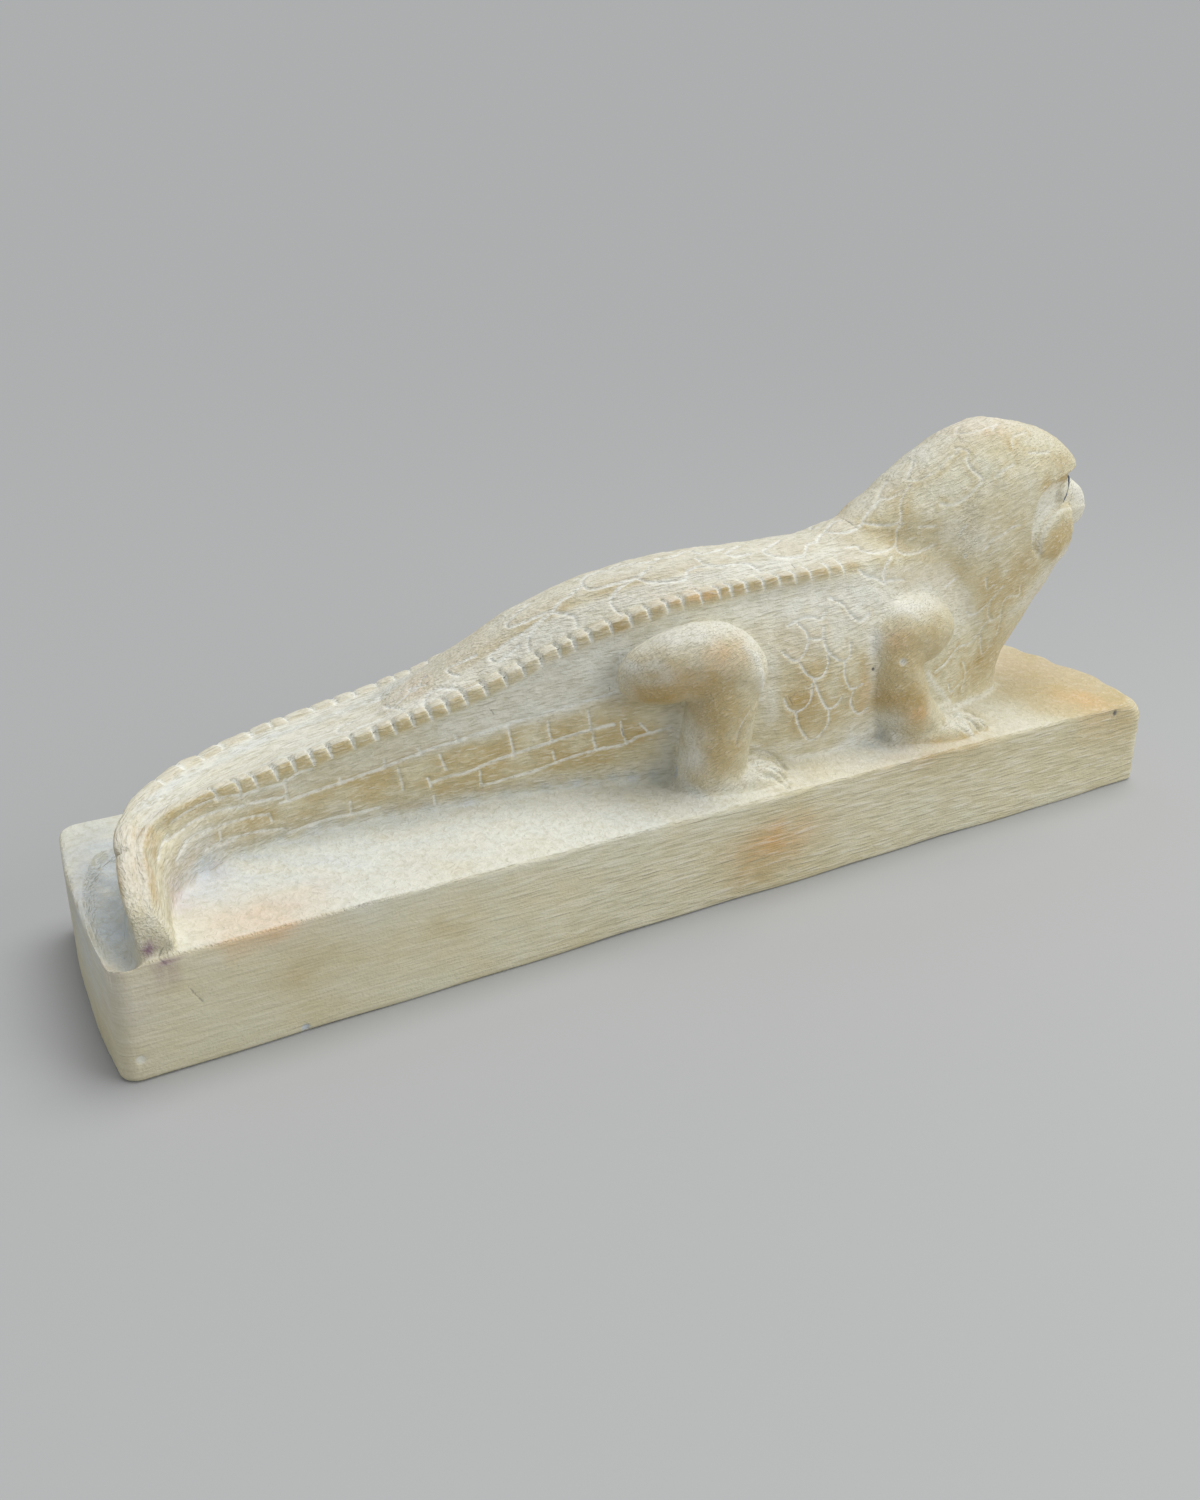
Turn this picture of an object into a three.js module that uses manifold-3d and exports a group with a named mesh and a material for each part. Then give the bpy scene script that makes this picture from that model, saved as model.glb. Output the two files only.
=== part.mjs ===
// A plaster cast of a falcon-headed crocodile lying on a long block plinth. The figure and
// its plinth are one casting. Millimetres, +Z up, +X towards the head, origin at the
// middle of the plinth's underside.
import * as THREE from "three";
import { mergeVertices } from "three/addons/utils/BufferGeometryUtils.js";
import Module from "manifold-3d";

const wasm = await Module();
wasm.setup();

// The plinth: a block whose two ends bow outwards in plan and lean in towards the top
const PLINTH_LENGTH = 369.3;
const PLINTH_WIDTH = 81;
const PLINTH_HEIGHT = 33;
const TAIL_END = { bow: 2.2, inset: 0.9 };
const HEAD_END = { bow: 2.8, inset: 2.0 };
const CORNER_RADIUS = 4.5;
const TOP_EDGE_RADIUS = 1.2;

// The figure: its height above the plinth, and the size of what is carved on it
const FIGURE_HEIGHT = 98.5;
const TOOTH_PITCH = 6.3;
const NOTCH_WIDTH = 1.9;
const NOTCH_DEPTH = 1.7;
const CREST_WIDTH = 3.8;
const BRICK_LENGTH = 13.2;
const BRICK_JOINT = 1.3;
const BRICK_RISE = 0.7;
const SCALE_LENGTH = 21;
const SCALE_RISE = 0.9;
const HOOD_STEP = 2.5;
const TOE_RADIUS = 2.7;
const SINK = 4;
const EYE = { halfLength: 6.2, halfHeight: 4.2, rim: 1.2 };

const NEAR = -1;
const FAR = 1;

const plaster = new THREE.MeshStandardMaterial({ color: 0xd9d0b4, roughness: 0.85, metalness: 0 });

// The figure is squared up on a grid, as a carver squares a block. Places along it run from
// -2.8 at the tail end of the plinth to 366.5 at the head end, across it from -40 at the
// near edge to 41 at the far one, and up from the plinth's top to 98.5 at the crown
function squareUp(along, across, up) {
  const share = (value, [from, to]) => (value - from) / (to - from);
  return {
    setOut: (point) => [
      (share(point[0], along) - 0.5) * PLINTH_LENGTH,
      (share(point[1], across) - 0.5) * PLINTH_WIDTH,
      share(point[2], up) * FIGURE_HEIGHT + PLINTH_HEIGHT,
    ],
    squares: (length) => (length * (along[1] - along[0])) / PLINTH_LENGTH,
  };
}

const { setOut, squares } = squareUp([-2.8, 366.5], [-40, 41], [0, 98.5]);

const mix = (a, b, t) => a + (b - a) * t;

function steps(from, to, count) {
  return Array.from({ length: count + 1 }, (_, i) => mix(from, to, i / count));
}

// A smooth curve through a few [place, value] pairs, level beyond its ends and never
// swinging past the values it joins. It keeps the places it runs from and to
function smooth(...pairs) {
  const rise = (i) => (pairs[i + 1][1] - pairs[i][1]) / (pairs[i + 1][0] - pairs[i][0]);
  const slopes = pairs.map((pair, i) => {
    if (i === 0) return rise(0);
    if (i === pairs.length - 1) return rise(i - 1);
    const before = rise(i - 1);
    const after = rise(i);
    return before * after <= 0 ? 0 : (2 * before * after) / (before + after);
  });
  const curve = (place) => {
    if (place <= pairs[0][0]) return pairs[0][1];
    const i = pairs.findIndex((pair, k) => k > 0 && place <= pair[0]) - 1;
    if (i < 0) return pairs[pairs.length - 1][1];
    const span = pairs[i + 1][0] - pairs[i][0];
    const t = (place - pairs[i][0]) / span;
    const u = 1 - t;
    const ends = u * u * (1 + 2 * t) * pairs[i][1] + t * t * (3 - 2 * t) * pairs[i + 1][1];
    return ends + t * u * span * (u * slopes[i] - t * slopes[i + 1]);
  };
  return Object.assign(curve, { from: pairs[0][0], to: pairs[pairs.length - 1][0] });
}

// Closed bodies from points and faces

function toSolid(points, faces) {
  const outward = signedVolume(points, faces) < 0 ? faces.map((face) => face.toReversed()) : faces;
  const geometry = new THREE.BufferGeometry();
  geometry.setAttribute("position", new THREE.Float32BufferAttribute(points.flat(), 3));
  geometry.setIndex(outward.flat());
  const merged = mergeVertices(geometry, 1e-4);
  return new wasm.Manifold(new wasm.Mesh({
    numProp: 3,
    vertProperties: new Float32Array(merged.attributes.position.array),
    triVerts: new Uint32Array(merged.index.array),
  }));
}

function toGeometry(solid) {
  const mesh = solid.getMesh();
  const geometry = new THREE.BufferGeometry();
  geometry.setAttribute("position", new THREE.BufferAttribute(mesh.vertProperties, 3));
  geometry.setIndex(new THREE.BufferAttribute(mesh.triVerts, 1));
  geometry.computeVertexNormals();
  return geometry;
}

function signedVolume(points, faces) {
  const [p, q, r] = [new THREE.Vector3(), new THREE.Vector3(), new THREE.Vector3()];
  return faces.reduce((sum, [a, b, c]) => {
    p.fromArray(points[a]);
    q.fromArray(points[b]);
    r.fromArray(points[c]);
    return sum + p.dot(q.cross(r));
  }, 0);
}

// The faces between rings of equal point counts laid one after another
function sleeve(ringCount, count) {
  const faces = [];
  for (let row = 0; row + 1 < ringCount; row += 1) {
    for (let i = 0; i < count; i += 1) {
      const a = row * count + i;
      const b = row * count + ((i + 1) % count);
      faces.push([a, b, b + count], [a, b + count, a + count]);
    }
  }
  return faces;
}

// A closed body through a row of rings
function loft(rings, place = setOut) {
  const count = rings[0].length;
  const faces = sleeve(rings.length, count);
  const last = (rings.length - 1) * count;
  for (let i = 1; i + 1 < count; i += 1) {
    faces.push([0, i + 1, i], [last, last + i, last + i + 1]);
  }
  return toSolid(rings.flat().map(place), faces);
}

// A slab right across the figure, its side outline given as [along, up] pairs
function slab(outline, halfWidth) {
  const flat = outline.map(([along, up]) => new THREE.Vector2(along, up));
  const count = outline.length;
  const caps = THREE.ShapeUtils.triangulateShape(flat, []);
  const faces = sleeve(2, count).concat(
    caps.map((cap) => cap.toReversed()),
    caps.map((cap) => cap.map((corner) => corner + count)),
  );
  const points = [-halfWidth, halfWidth].flatMap((across) => (
    outline.map(([along, up]) => setOut([along, across, up]))
  ));
  return toSolid(points, faces);
}

// A rounded limb along stations of [along, across, up, half-depth, half-thickness]. The
// half-depth lies in the upright plane of the limb, the half-thickness across it
function limb(stations, sides = 8) {
  const centre = (i) => new THREE.Vector3(...stations[i].slice(0, 3));
  return loft(stations.map((station, i) => {
    const run = centre(Math.min(i + 1, stations.length - 1)).sub(centre(Math.max(i - 1, 0)));
    const across = new THREE.Vector3(0, 1, 0).addScaledVector(run, -run.y / run.lengthSq()).normalize();
    const up = new THREE.Vector3().crossVectors(run, across).normalize();
    const [, , , depth, thickness] = station;
    return steps(0, 2 * Math.PI, sides).slice(1).map((turn) => {
      const point = centre(i).addScaledVector(up, depth * Math.sin(turn));
      return point.addScaledVector(across, thickness * Math.cos(turn)).toArray();
    });
  }));
}

// A bead of round section along a path of points, fullest in the middle
function bead(path, radius, sides = 5) {
  const curve = new THREE.CatmullRomCurve3(path.map((point) => new THREE.Vector3(...point)));
  return limb([0, 0.15, 0.6, 1].map((share) => {
    const swell = radius * Math.sqrt(Math.max(1 - (2 * share - 1) ** 2, 0.02));
    return [...curve.getPoint(share).toArray(), swell, swell];
  }), sides);
}

// The plinth

function endReach(end, across, height) {
  const { bow, inset } = end > 0 ? HEAD_END : TAIL_END;
  const straight = PLINTH_LENGTH / 2 - bow * (2 * across / PLINTH_WIDTH) ** 2;
  return straight - (inset * height) / PLINTH_HEIGHT;
}

function plinthOutline(height, inset) {
  const side = PLINTH_WIDTH / 2 - inset;
  const outline = [];
  const turns = steps(0, Math.PI / 2, 3);
  const corner = (end, flank, arc) => arc.forEach((turn) => {
    const across = flank * (side - CORNER_RADIUS * (1 - Math.sin(turn)));
    const reach = endReach(end, across, height) - inset - CORNER_RADIUS * (1 - Math.cos(turn));
    outline.push([end * reach, across, height]);
  });
  const face = (end, shares) => shares.forEach((share) => {
    outline.push([end * (endReach(end, share * side, height) - inset), share * side, height]);
  });
  corner(1, NEAR, turns.toReversed());
  face(1, [-0.6, 0, 0.6]);
  corner(1, FAR, turns);
  corner(-1, FAR, turns.toReversed());
  face(-1, [0.6, 0, -0.6]);
  corner(-1, NEAR, turns);
  return outline;
}

function plinthBlock() {
  const shoulder = PLINTH_HEIGHT - TOP_EDGE_RADIUS;
  const softening = 1 - Math.SQRT1_2;
  return loft([
    plinthOutline(0, 0),
    plinthOutline(shoulder, 0),
    plinthOutline(mix(PLINTH_HEIGHT, shoulder, softening), TOP_EDGE_RADIUS * softening),
    plinthOutline(PLINTH_HEIGHT, TOP_EDGE_RADIUS),
  ], (point) => point);
}

// The hollow worn into the plinth's top between the curled tail and the tail end
function endHollow() {
  return bead([[4.8, -37, 2.6], [5, -22, 2.4], [6, -6, 2.4], [8, 6, 2.6], [11, 17, 3]], 6, 8);
}

// The line of the body in plan: straight from the head to the hips, swinging to the far
// side along the tail, then curling round to the near edge. Places along it are counted
// in grid steps from the tail end, and go below nought round the curl
const lineAlong = smooth(
  [-23.6, 11.4], [-6, 12.8], [8.6, 17], [24.4, 27.2], [41.4, 42], [60, 60], [360, 360],
);
const lineAcross = smooth(
  [-23.6, -38.6], [-6, -22.4], [8.6, -9.6], [24.4, 2.2], [41.4, 10.6], [60, 14.4], [78, 15.2],
  [106, 13.4], [128, 11.8], [150, 8.8], [175, 4.6], [200, 1.4], [225, 0], [360, 0],
);

// Heights and half-widths of the body's section along that line
const ridgeUp = smooth(
  [-23.6, 6], [-22.4, 10], [-18, 13.4], [-12, 16.2], [-6, 18.4], [0, 19.8], [12, 20.8],
  [41, 22.4], [60, 25], [90, 30.4], [120, 39], [150, 50], [180, 57.6], [205, 60.2], [240, 61.5], [300, 58],
);
const crownOver = smooth(
  [-23.6, 1.2], [8, -0.4], [30, -1.2], [84, -1], [97, 2.4], [112, 7], [133, 11], [150, 11],
  [180, 8.8], [205, 7], [225, 6.6], [240, 9.6], [250, 13.4], [262, 17], [300, 10],
);
const outerHalf = smooth(
  [-23.6, 3.6], [-21, 4.2], [-6, 4.2], [8.6, 5.8], [24.4, 9], [41.4, 11.8], [60, 13.2],
  [90, 14.8], [120, 15.6], [180, 17], [235, 17], [300, 12],
);
const innerHalf = smooth(
  [-23.6, 0.6], [-6, 0.8], [5, 1.8], [15, 4.4], [24.4, 7.2], [41.4, 11.2], [60, 13.2],
  [90, 14.8], [120, 15.6], [180, 17], [235, 17], [300, 12],
);
const bellyHalf = smooth(
  [-23.6, 3.8], [-6, 4.8], [8.6, 6.4], [24.4, 9.2], [41.4, 12.2], [60, 13.4], [92, 14.8],
  [128, 16.8], [165, 20.6], [190, 23.6], [215, 26], [235, 25.8], [262, 22], [300, 14],
);
const footHalf = smooth(
  [-23.6, 4.6], [-6, 5.6], [8.6, 6.8], [24.4, 9.2], [41.4, 11.6], [60, 12.8], [92, 13.7],
  [128, 15], [165, 18.6], [190, 20.6], [215, 21.4], [235, 21.8], [262, 18.6], [300, 11],
);
const crestFade = smooth([200, 1], [238, 0.4]);

// The ridge stands as far out on both sides but round the curl, where the inner one dies away
function ridgeHalf(place, side) {
  return side === NEAR ? innerHalf(place) : outerHalf(place);
}

function crestWidth(place, side) {
  return Math.min(squares(CREST_WIDTH) * crestFade(place), ridgeHalf(place, side) / 2);
}

function lineHeading(place) {
  const [behind, ahead] = [place - 0.5, place + 0.5];
  return Math.atan2(lineAcross(ahead) - lineAcross(behind), lineAlong(ahead) - lineAlong(behind));
}

// A point of the body: its place along the line, how far to the far side of it, and height
function onBody(place, side, up) {
  const heading = lineHeading(Math.max(place, lineAlong.from + 0.5));
  return [
    lineAlong(place) - side * Math.sin(heading),
    lineAcross(place) + side * Math.cos(heading),
    up,
  ];
}

// The back between the ridges, by its share of the way from the middle to a ridge
function backUp(place, share) {
  return ridgeUp(place) - 1 + crownOver(place) * (1 - share * share);
}

// The flank below a ridge: its half-width at a share of the ridge's height
function flankHalf(place, side, share) {
  const half = ridgeHalf(place, side);
  const belly = bellyHalf(place);
  const foot = footHalf(place);
  const shape = smooth(
    [0, foot], [0.12, mix(foot, belly, 0.4)], [0.3, belly], [0.5, mix(half, belly, 0.92)],
    [0.72, mix(half, belly, 0.55)], [0.9, half + 0.5],
  );
  return shape(share);
}

// One half of the body's section, from the crown down into the plinth, as [out, up] pairs.
// A narrow crest stands along the ridge
function halfSection(place, side) {
  const ridge = ridgeUp(place);
  const half = ridgeHalf(place, side);
  const crest = crestWidth(place, side);
  return [
    ...[0, 0.45, 0.75].map((share) => [half * share, backUp(place, share)]),
    [half - crest / 2, ridge],
    [half + crest / 4, ridge - 0.13 * crest],
    [half + crest / 4, ridge - 0.9 * crest],
    ...[0.66, 0.4, 0.18].map((share) => [flankHalf(place, side, share), ridge * share]),
    [footHalf(place), -squares(SINK)],
  ];
}

function body() {
  const places = [...steps(ridgeUp.from, 28, 9), ...steps(37, 296, 25)];
  return loft(places.map((place) => {
    const [near, far] = [NEAR, FAR].map((side) => (
      halfSection(place, side).map(([out, up]) => onBody(place, side * out, up))
    ));
    return [...far, ...near.slice(1).reverse()];
  }));
}

// The notches sawn across each crest, which leave a row of teeth. They stand a little closer
// on the body than on the tail, and die out above the shoulder
const notchPitch = smooth([17, 1], [92, 1], [120, 0.9], [232, 0.86]);
const notchDepth = smooth([17, 0.6], [34, 0.8], [110, 1.15], [190, 0.95], [222, 0.32]);

function notch(side, place) {
  const ridge = ridgeUp(place);
  const half = ridgeHalf(place, side);
  const crest = crestWidth(place, side);
  const depth = squares(NOTCH_DEPTH) * notchDepth(place);
  const reach = squares(NOTCH_WIDTH) / 2;
  const wedge = (across, low) => [
    onBody(place - reach, side * across, ridge + 0.35 * reach + 0.3 * depth),
    onBody(place, side * across, low),
    onBody(place + reach, side * across, ridge + 0.35 * reach + 0.3 * depth),
  ];
  return loft([
    wedge(half - 0.7 * crest, ridge - depth),
    wedge(half + 0.5 * crest, ridge - 2 * depth),
  ]);
}

function notches(side) {
  const cuts = [];
  let place = notchDepth.from;
  while (place < notchDepth.to) {
    cuts.push(notch(side, place));
    place += squares(TOOTH_PITCH) * notchPitch(place);
  }
  return cuts;
}

// A raised patch on the body. Its outline is a list of [place, share] pairs, put on the
// skin by the given function, sunk below it and raised above it
function patch(outline, skin, rise) {
  const level = (depth) => outline.map(([place, share]) => skin(place, share, depth(place)));
  return loft([level(() => -squares(BRICK_JOINT)), level(rise)]);
}

// Brick-like scutes in two rows on the tail's flanks, the lower staggered on the upper
function scuteRow(side, low, high, from, to) {
  const skin = (place, share, depth) => (
    onBody(place, side * (flankHalf(place, side, share) + depth), ridgeUp(place) * share)
  );
  const length = squares(BRICK_LENGTH);
  const count = Math.floor((to - from) / length);
  return steps(0, count - 1, count - 1).map((i) => {
    const start = from + i * length;
    const end = start + length - squares(BRICK_JOINT);
    const outline = [[start, low], [end, low], [end, high], [start, high]];
    return patch(outline, skin, () => squares(BRICK_RISE));
  });
}

function tailScutes(side) {
  return [...scuteRow(side, 0.35, 0.56, 46.5, 166), ...scuteRow(side, 0.16, 0.32, 53, 161)];
}

// Long scales on the back, with rounded tips towards the tail, lifted at the tip like
// shingles
function backScale(tip, middle, halfShare) {
  const skin = (place, share, depth) => (
    onBody(place, outerHalf(place) * share, backUp(place, Math.abs(share)) + depth)
  );
  const length = squares(SCALE_LENGTH);
  const half = [[1, 0.8], [0.29, 1], [0.06, 0.55]];
  const outline = [
    ...half.map(([back, share]) => [tip + back * length, middle - share * halfShare]),
    ...half.toReversed().map(([back, share]) => [tip + back * length, middle + share * halfShare]),
  ];
  return patch(outline, skin, (place) => squares(SCALE_RISE) * mix(1, 0.05, (place - tip) / length));
}

function backScales() {
  const pitch = squares(SCALE_LENGTH) * 0.66;
  const rows = Math.floor((236 - 98) / pitch);
  return steps(0, rows - 1, rows - 1).flatMap((row) => {
    const middles = row % 2 === 0 ? [-0.52, 0, 0.52] : [-0.26, 0.26];
    return middles.map((middle) => backScale(98 + row * pitch, middle, 0.22));
  });
}

// The neck and head: level rings, each a blunt oval in plan, from the chest to the crown
const neckBack = smooth(
  [-4, 270], [40, 266], [58, 250], [68, 240], [77.7, 253.6], [87.3, 269.2], [93, 279.8],
  [96, 287], [97.8, 293.6], [98.5, 299],
);
const neckFront = smooth(
  [-4, 325], [6, 321.5], [13, 322.2], [22, 327.4], [30, 332.8], [38, 338.6], [45, 343.9],
  [51, 348], [56, 348.6], [62, 346.6], [76, 345], [79, 345.8], [82, 345.2], [86, 341],
  [91, 332.8], [94.5, 323.4], [97, 313.2], [98.5, 303],
);
const neckHalf = smooth(
  [-4, 11.6], [6, 11.4], [14, 12.4], [30, 15.2], [44, 17], [58, 17.6], [70, 17.6], [80, 16.6],
  [87, 14.4], [92, 11.4], [95.5, 8.2], [97.6, 5], [98.5, 2.4],
);
const neckWidest = smooth([-4, 290], [30, 296], [60, 300], [80, 302], [98.5, 300]);

function neckRing(up, step) {
  const widest = neckWidest(up);
  const back = widest - neckBack(up) - step;
  const front = neckFront(up) - widest - step;
  const half = neckHalf(up) - step;
  return steps(0, 2 * Math.PI, 18).slice(1).map((turn) => {
    const along = Math.cos(turn) * (Math.cos(turn) > 0 ? front : back);
    return [widest + along, Math.sin(turn) * half, up];
  });
}

function neckAndHead(step) {
  const heights = [-4, 10, 20, 32, 42, 50, 56, 64, 71, 76, 79, 83, 88, 92.5, 96, 98.5];
  return loft(heights.map((up) => neckRing(up, up > 90 ? 0 : squares(step))));
}

// The face is sunk behind the hood's edge, which runs from under the brow round the cheek;
// the jaw stays at the hood's level
function faceSinking() {
  const hoodEdge = [[358, 77.4], [330, 76], [320, 75], [315.5, 72], [313.2, 66], [313, 60], [315, 55]];
  const underJaw = [[318.5, 52], [323, 50]];
  const jawEdge = [[319.6, 53.6], [318.4, 57], [320.5, 61.4], [325.5, 65], [332, 67], [358, 65]];
  return slab([...hoodEdge, ...underJaw, ...jawEdge], 30);
}

// The short hooked beak
function beak() {
  const reach = smooth([56.2, 352], [57.5, 356.2], [60.5, 358.3], [64, 358.1], [69, 355.7], [75.4, 346.6]);
  const half = smooth([56.2, 1.6], [58.5, 3.4], [64, 4.8], [70, 4.6], [75.4, 2.4]);
  const root = 338;
  return loft([56.2, 57.5, 60.5, 65, 70, 75.4].map((up) => (
    steps(0, 2 * Math.PI, 10).slice(1).map((turn) => [
      root + (reach(up) - root) * Math.cos(turn),
      half(up) * Math.sin(turn),
      up,
    ])
  )));
}

// An almond eye within a raised rim, on one side of the sunk face. It looks forwards and
// outwards, square to the face at that place
function eye(side) {
  const [up, setBack, turn] = [72, 8.4, 0.6];
  const [along, length, height, rim] = [
    neckFront(up) - setBack, ...[EYE.halfLength, EYE.halfHeight, EYE.rim].map(squares),
  ];
  const step = squares(HOOD_STEP);
  const towardsFront = (along - neckWidest(up)) / (neckFront(up) - neckWidest(up) - step);
  const across = (neckHalf(up) - step) * Math.sqrt(1 - towardsFront ** 2);
  const onFace = (run, rise, out) => [
    along + run * Math.cos(turn) + out * Math.sin(turn),
    side * (across - run * Math.sin(turn) + out * Math.cos(turn)),
    up + rise,
  ];
  const almond = (size, out) => steps(0, 2 * Math.PI, 8).slice(1).map((angle) => {
    const rise = Math.sin(angle) * Math.abs(Math.sin(angle)) ** 0.5;
    return onFace(size * length * Math.cos(angle), size * height * rise, out);
  });
  const lids = loft([almond(1, -2 * rim), almond(1, rim)]);
  const opening = loft([almond(0.7, 0.3 * rim), almond(0.7, 2 * rim)]);
  const ball = bead([-0.7, 0, 0.7].map((share) => onFace(share * length, 0, -0.9 * rim)), 0.6 * height, 6);
  return [lids.subtract(opening), ball];
}

// The legs: each a bulging upper limb, a thick shank and a flat foot with its toes forward

function onSide(side, middle, stations) {
  return stations.map(([along, across, ...rest]) => [along, middle + side * across, ...rest]);
}

// A foot's plate has its lower edge just under the plinth's top, so that they join cleanly
function foot(side, middle, rings, tip) {
  const [sink, edge] = [SINK, 0.3].map(squares);
  const plate = loft(rings.map(([along, inner, outer, rise]) => (
    steps(0, Math.PI, 5).map((turn) => {
      const across = mix(outer, inner, (1 - Math.cos(turn)) / 2);
      return [along, middle + side * across, (rise + edge) * Math.sin(turn) ** 0.7 - edge];
    }).concat([[along, middle + side * inner, -sink], [along, middle + side * outer, -sink]])
  )));
  const toes = [0, 1, 2, 3].map((toe) => {
    const [root, end] = [17 + toe * 4.6, 15.4 + toe * 5.7];
    const reach = tip + 1 - Math.abs(toe - 1.2);
    const path = [[tip - 15, root, 3], [tip - 8, mix(root, end, 0.5), 2.2], [reach, end, -1]];
    return bead(onSide(side, middle, path), squares(TOE_RADIUS));
  });
  return [plate, ...toes];
}

// The hind pair stands a little to the far side of the plinth's middle
function hindLeg(side) {
  const middle = 1.2;
  const thigh = [
    [151, 14, 35, 3, 3], [154.5, 15.8, 35.6, 7.4, 6], [161, 18.6, 37.2, 10, 8.4],
    [169, 21.2, 39.4, 11.6, 9.4], [178, 23.4, 39.4, 11.8, 10], [185, 24.6, 35.4, 10.4, 10],
    [187, 24.8, 30, 7, 8],
  ];
  const shank = [
    [183, 23.5, 41, 4, 5], [182.4, 24.2, 36, 9.4, 9.2], [181, 24.8, 28, 11, 9.6],
    [179.4, 24.8, 16, 11.2, 9.2], [178.4, 24.4, 6, 11.4, 9.4], [178.4, 24, -squares(SINK), 12.4, 10.6],
  ];
  const footRings = [
    [170, 18, 29, 5], [174, 13.5, 33, 6.4], [182, 12, 35.6, 7], [191, 12.4, 36, 5.2],
    [198, 13.6, 35, 3.4], [202.4, 17, 32, 1],
  ];
  return [
    limb(onSide(side, middle, thigh)), limb(onSide(side, middle, shank)),
    ...foot(side, middle, footRings, 203.6),
  ];
}

function foreLeg(side) {
  const upper = [
    [238.4, 15, 33, 3.4, 3], [242.6, 16.8, 34, 8.6, 7], [249.6, 18.4, 34.8, 12, 8.6],
    [258.6, 18.8, 35.2, 12.2, 8.8], [267.4, 17.6, 34.6, 10.4, 8.2], [274, 15.2, 33.8, 6.6, 6.4],
    [277.6, 13, 33, 2, 3],
  ];
  const lower = [
    [253, 20, 41, 6, 5], [252.5, 20.4, 35, 11.2, 8.6], [250.5, 21.4, 27, 11, 9],
    [251.5, 22.6, 18, 10.8, 9.2], [256, 23.4, 9, 10.4, 9.2], [262, 23.6, 1, 10.4, 9.6],
    [264, 23.6, -squares(SINK), 10.4, 9.6],
  ];
  const footRings = [
    [248, 19, 28, 4.8], [257, 14, 33, 6.2], [266, 12, 36, 7.2], [275, 12, 36.2, 5.2],
    [283, 12, 34.6, 3.4], [287.4, 14.2, 32, 1],
  ];
  return [
    limb(onSide(side, 0, upper)), limb(onSide(side, 0, lower)),
    ...foot(side, 0, footRings, 289),
  ];
}

function crocodile() {
  const hood = neckAndHead(0).subtract(faceSinking());
  const sides = [NEAR, FAR].flatMap((side) => [
    ...tailScutes(side), ...hindLeg(side), ...foreLeg(side), ...eye(side),
  ]);
  const crests = wasm.Manifold.union([NEAR, FAR].flatMap(notches));
  return wasm.Manifold.union([
    body().subtract(crests), hood, neckAndHead(HOOD_STEP), beak(), ...backScales(), ...sides,
  ]);
}

const model = new THREE.Group();
const cast = new THREE.Mesh(toGeometry(plinthBlock().subtract(endHollow()).add(crocodile())), plaster);
cast.name = "crocodile_on_plinth";
model.add(cast);

export default model;
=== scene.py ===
import math
from types import SimpleNamespace

import bpy
import numpy as np
from mathutils import Matrix, Vector


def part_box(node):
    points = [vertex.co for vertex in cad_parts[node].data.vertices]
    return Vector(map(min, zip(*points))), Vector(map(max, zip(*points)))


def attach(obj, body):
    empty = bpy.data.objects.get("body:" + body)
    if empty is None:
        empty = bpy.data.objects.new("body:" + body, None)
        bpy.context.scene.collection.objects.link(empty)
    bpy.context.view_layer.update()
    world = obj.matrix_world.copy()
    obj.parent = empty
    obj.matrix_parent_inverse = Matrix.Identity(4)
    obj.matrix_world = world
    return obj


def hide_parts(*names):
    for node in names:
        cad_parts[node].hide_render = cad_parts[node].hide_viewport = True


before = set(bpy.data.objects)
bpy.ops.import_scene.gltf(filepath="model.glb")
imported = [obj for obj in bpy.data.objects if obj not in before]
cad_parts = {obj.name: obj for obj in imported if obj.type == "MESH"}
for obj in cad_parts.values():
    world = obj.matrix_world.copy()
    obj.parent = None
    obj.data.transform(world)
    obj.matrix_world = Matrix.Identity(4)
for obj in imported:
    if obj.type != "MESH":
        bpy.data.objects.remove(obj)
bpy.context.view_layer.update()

# The camera stands where the photograph was taken, low behind the tail on the animal's right.
# Carving and marks that were read off the photograph are cast onto the plaster along its rays.

CAMERA_AT = (-0.20093, -0.29426, 0.19116)
YAW, PITCH, ROLL = (math.radians(angle) for angle in (30.3, 23.9, 0.8))
FOCAL_PIXELS = 1200
PHOTO_WIDE, PHOTO_HIGH = 1200, 1500

ahead = Vector((math.sin(YAW) * math.cos(PITCH), math.cos(YAW) * math.cos(PITCH), -math.sin(PITCH)))
level = Vector((math.cos(YAW), -math.sin(YAW), 0))
upright = level.cross(ahead)
right = math.cos(ROLL) * level + math.sin(ROLL) * upright
top = math.cos(ROLL) * upright - math.sin(ROLL) * level

lens = bpy.data.cameras.new("camera")
lens.sensor_width = 36
lens.lens = lens.sensor_width * FOCAL_PIXELS / PHOTO_HIGH
lens.clip_start = 0.01
camera = bpy.data.objects.new("camera", lens)
camera.matrix_world = Matrix.Translation(CAMERA_AT) @ Matrix((right, top, -ahead)).transposed().to_4x4()
bpy.context.scene.collection.objects.link(camera)
bpy.context.scene.camera = camera


def ray_through(x, y):
    rightwards, downwards = x - PHOTO_WIDE / 2, y - PHOTO_HIGH / 2
    return (ahead + (right * rightwards - top * downwards) / FOCAL_PIXELS).normalized()


# The plinth is a long block of cream plaster, cast in one with the figure on it. Its top
# edge and corners are worn round, and its sides keep the lengthwise strokes of a stiff brush.

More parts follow.
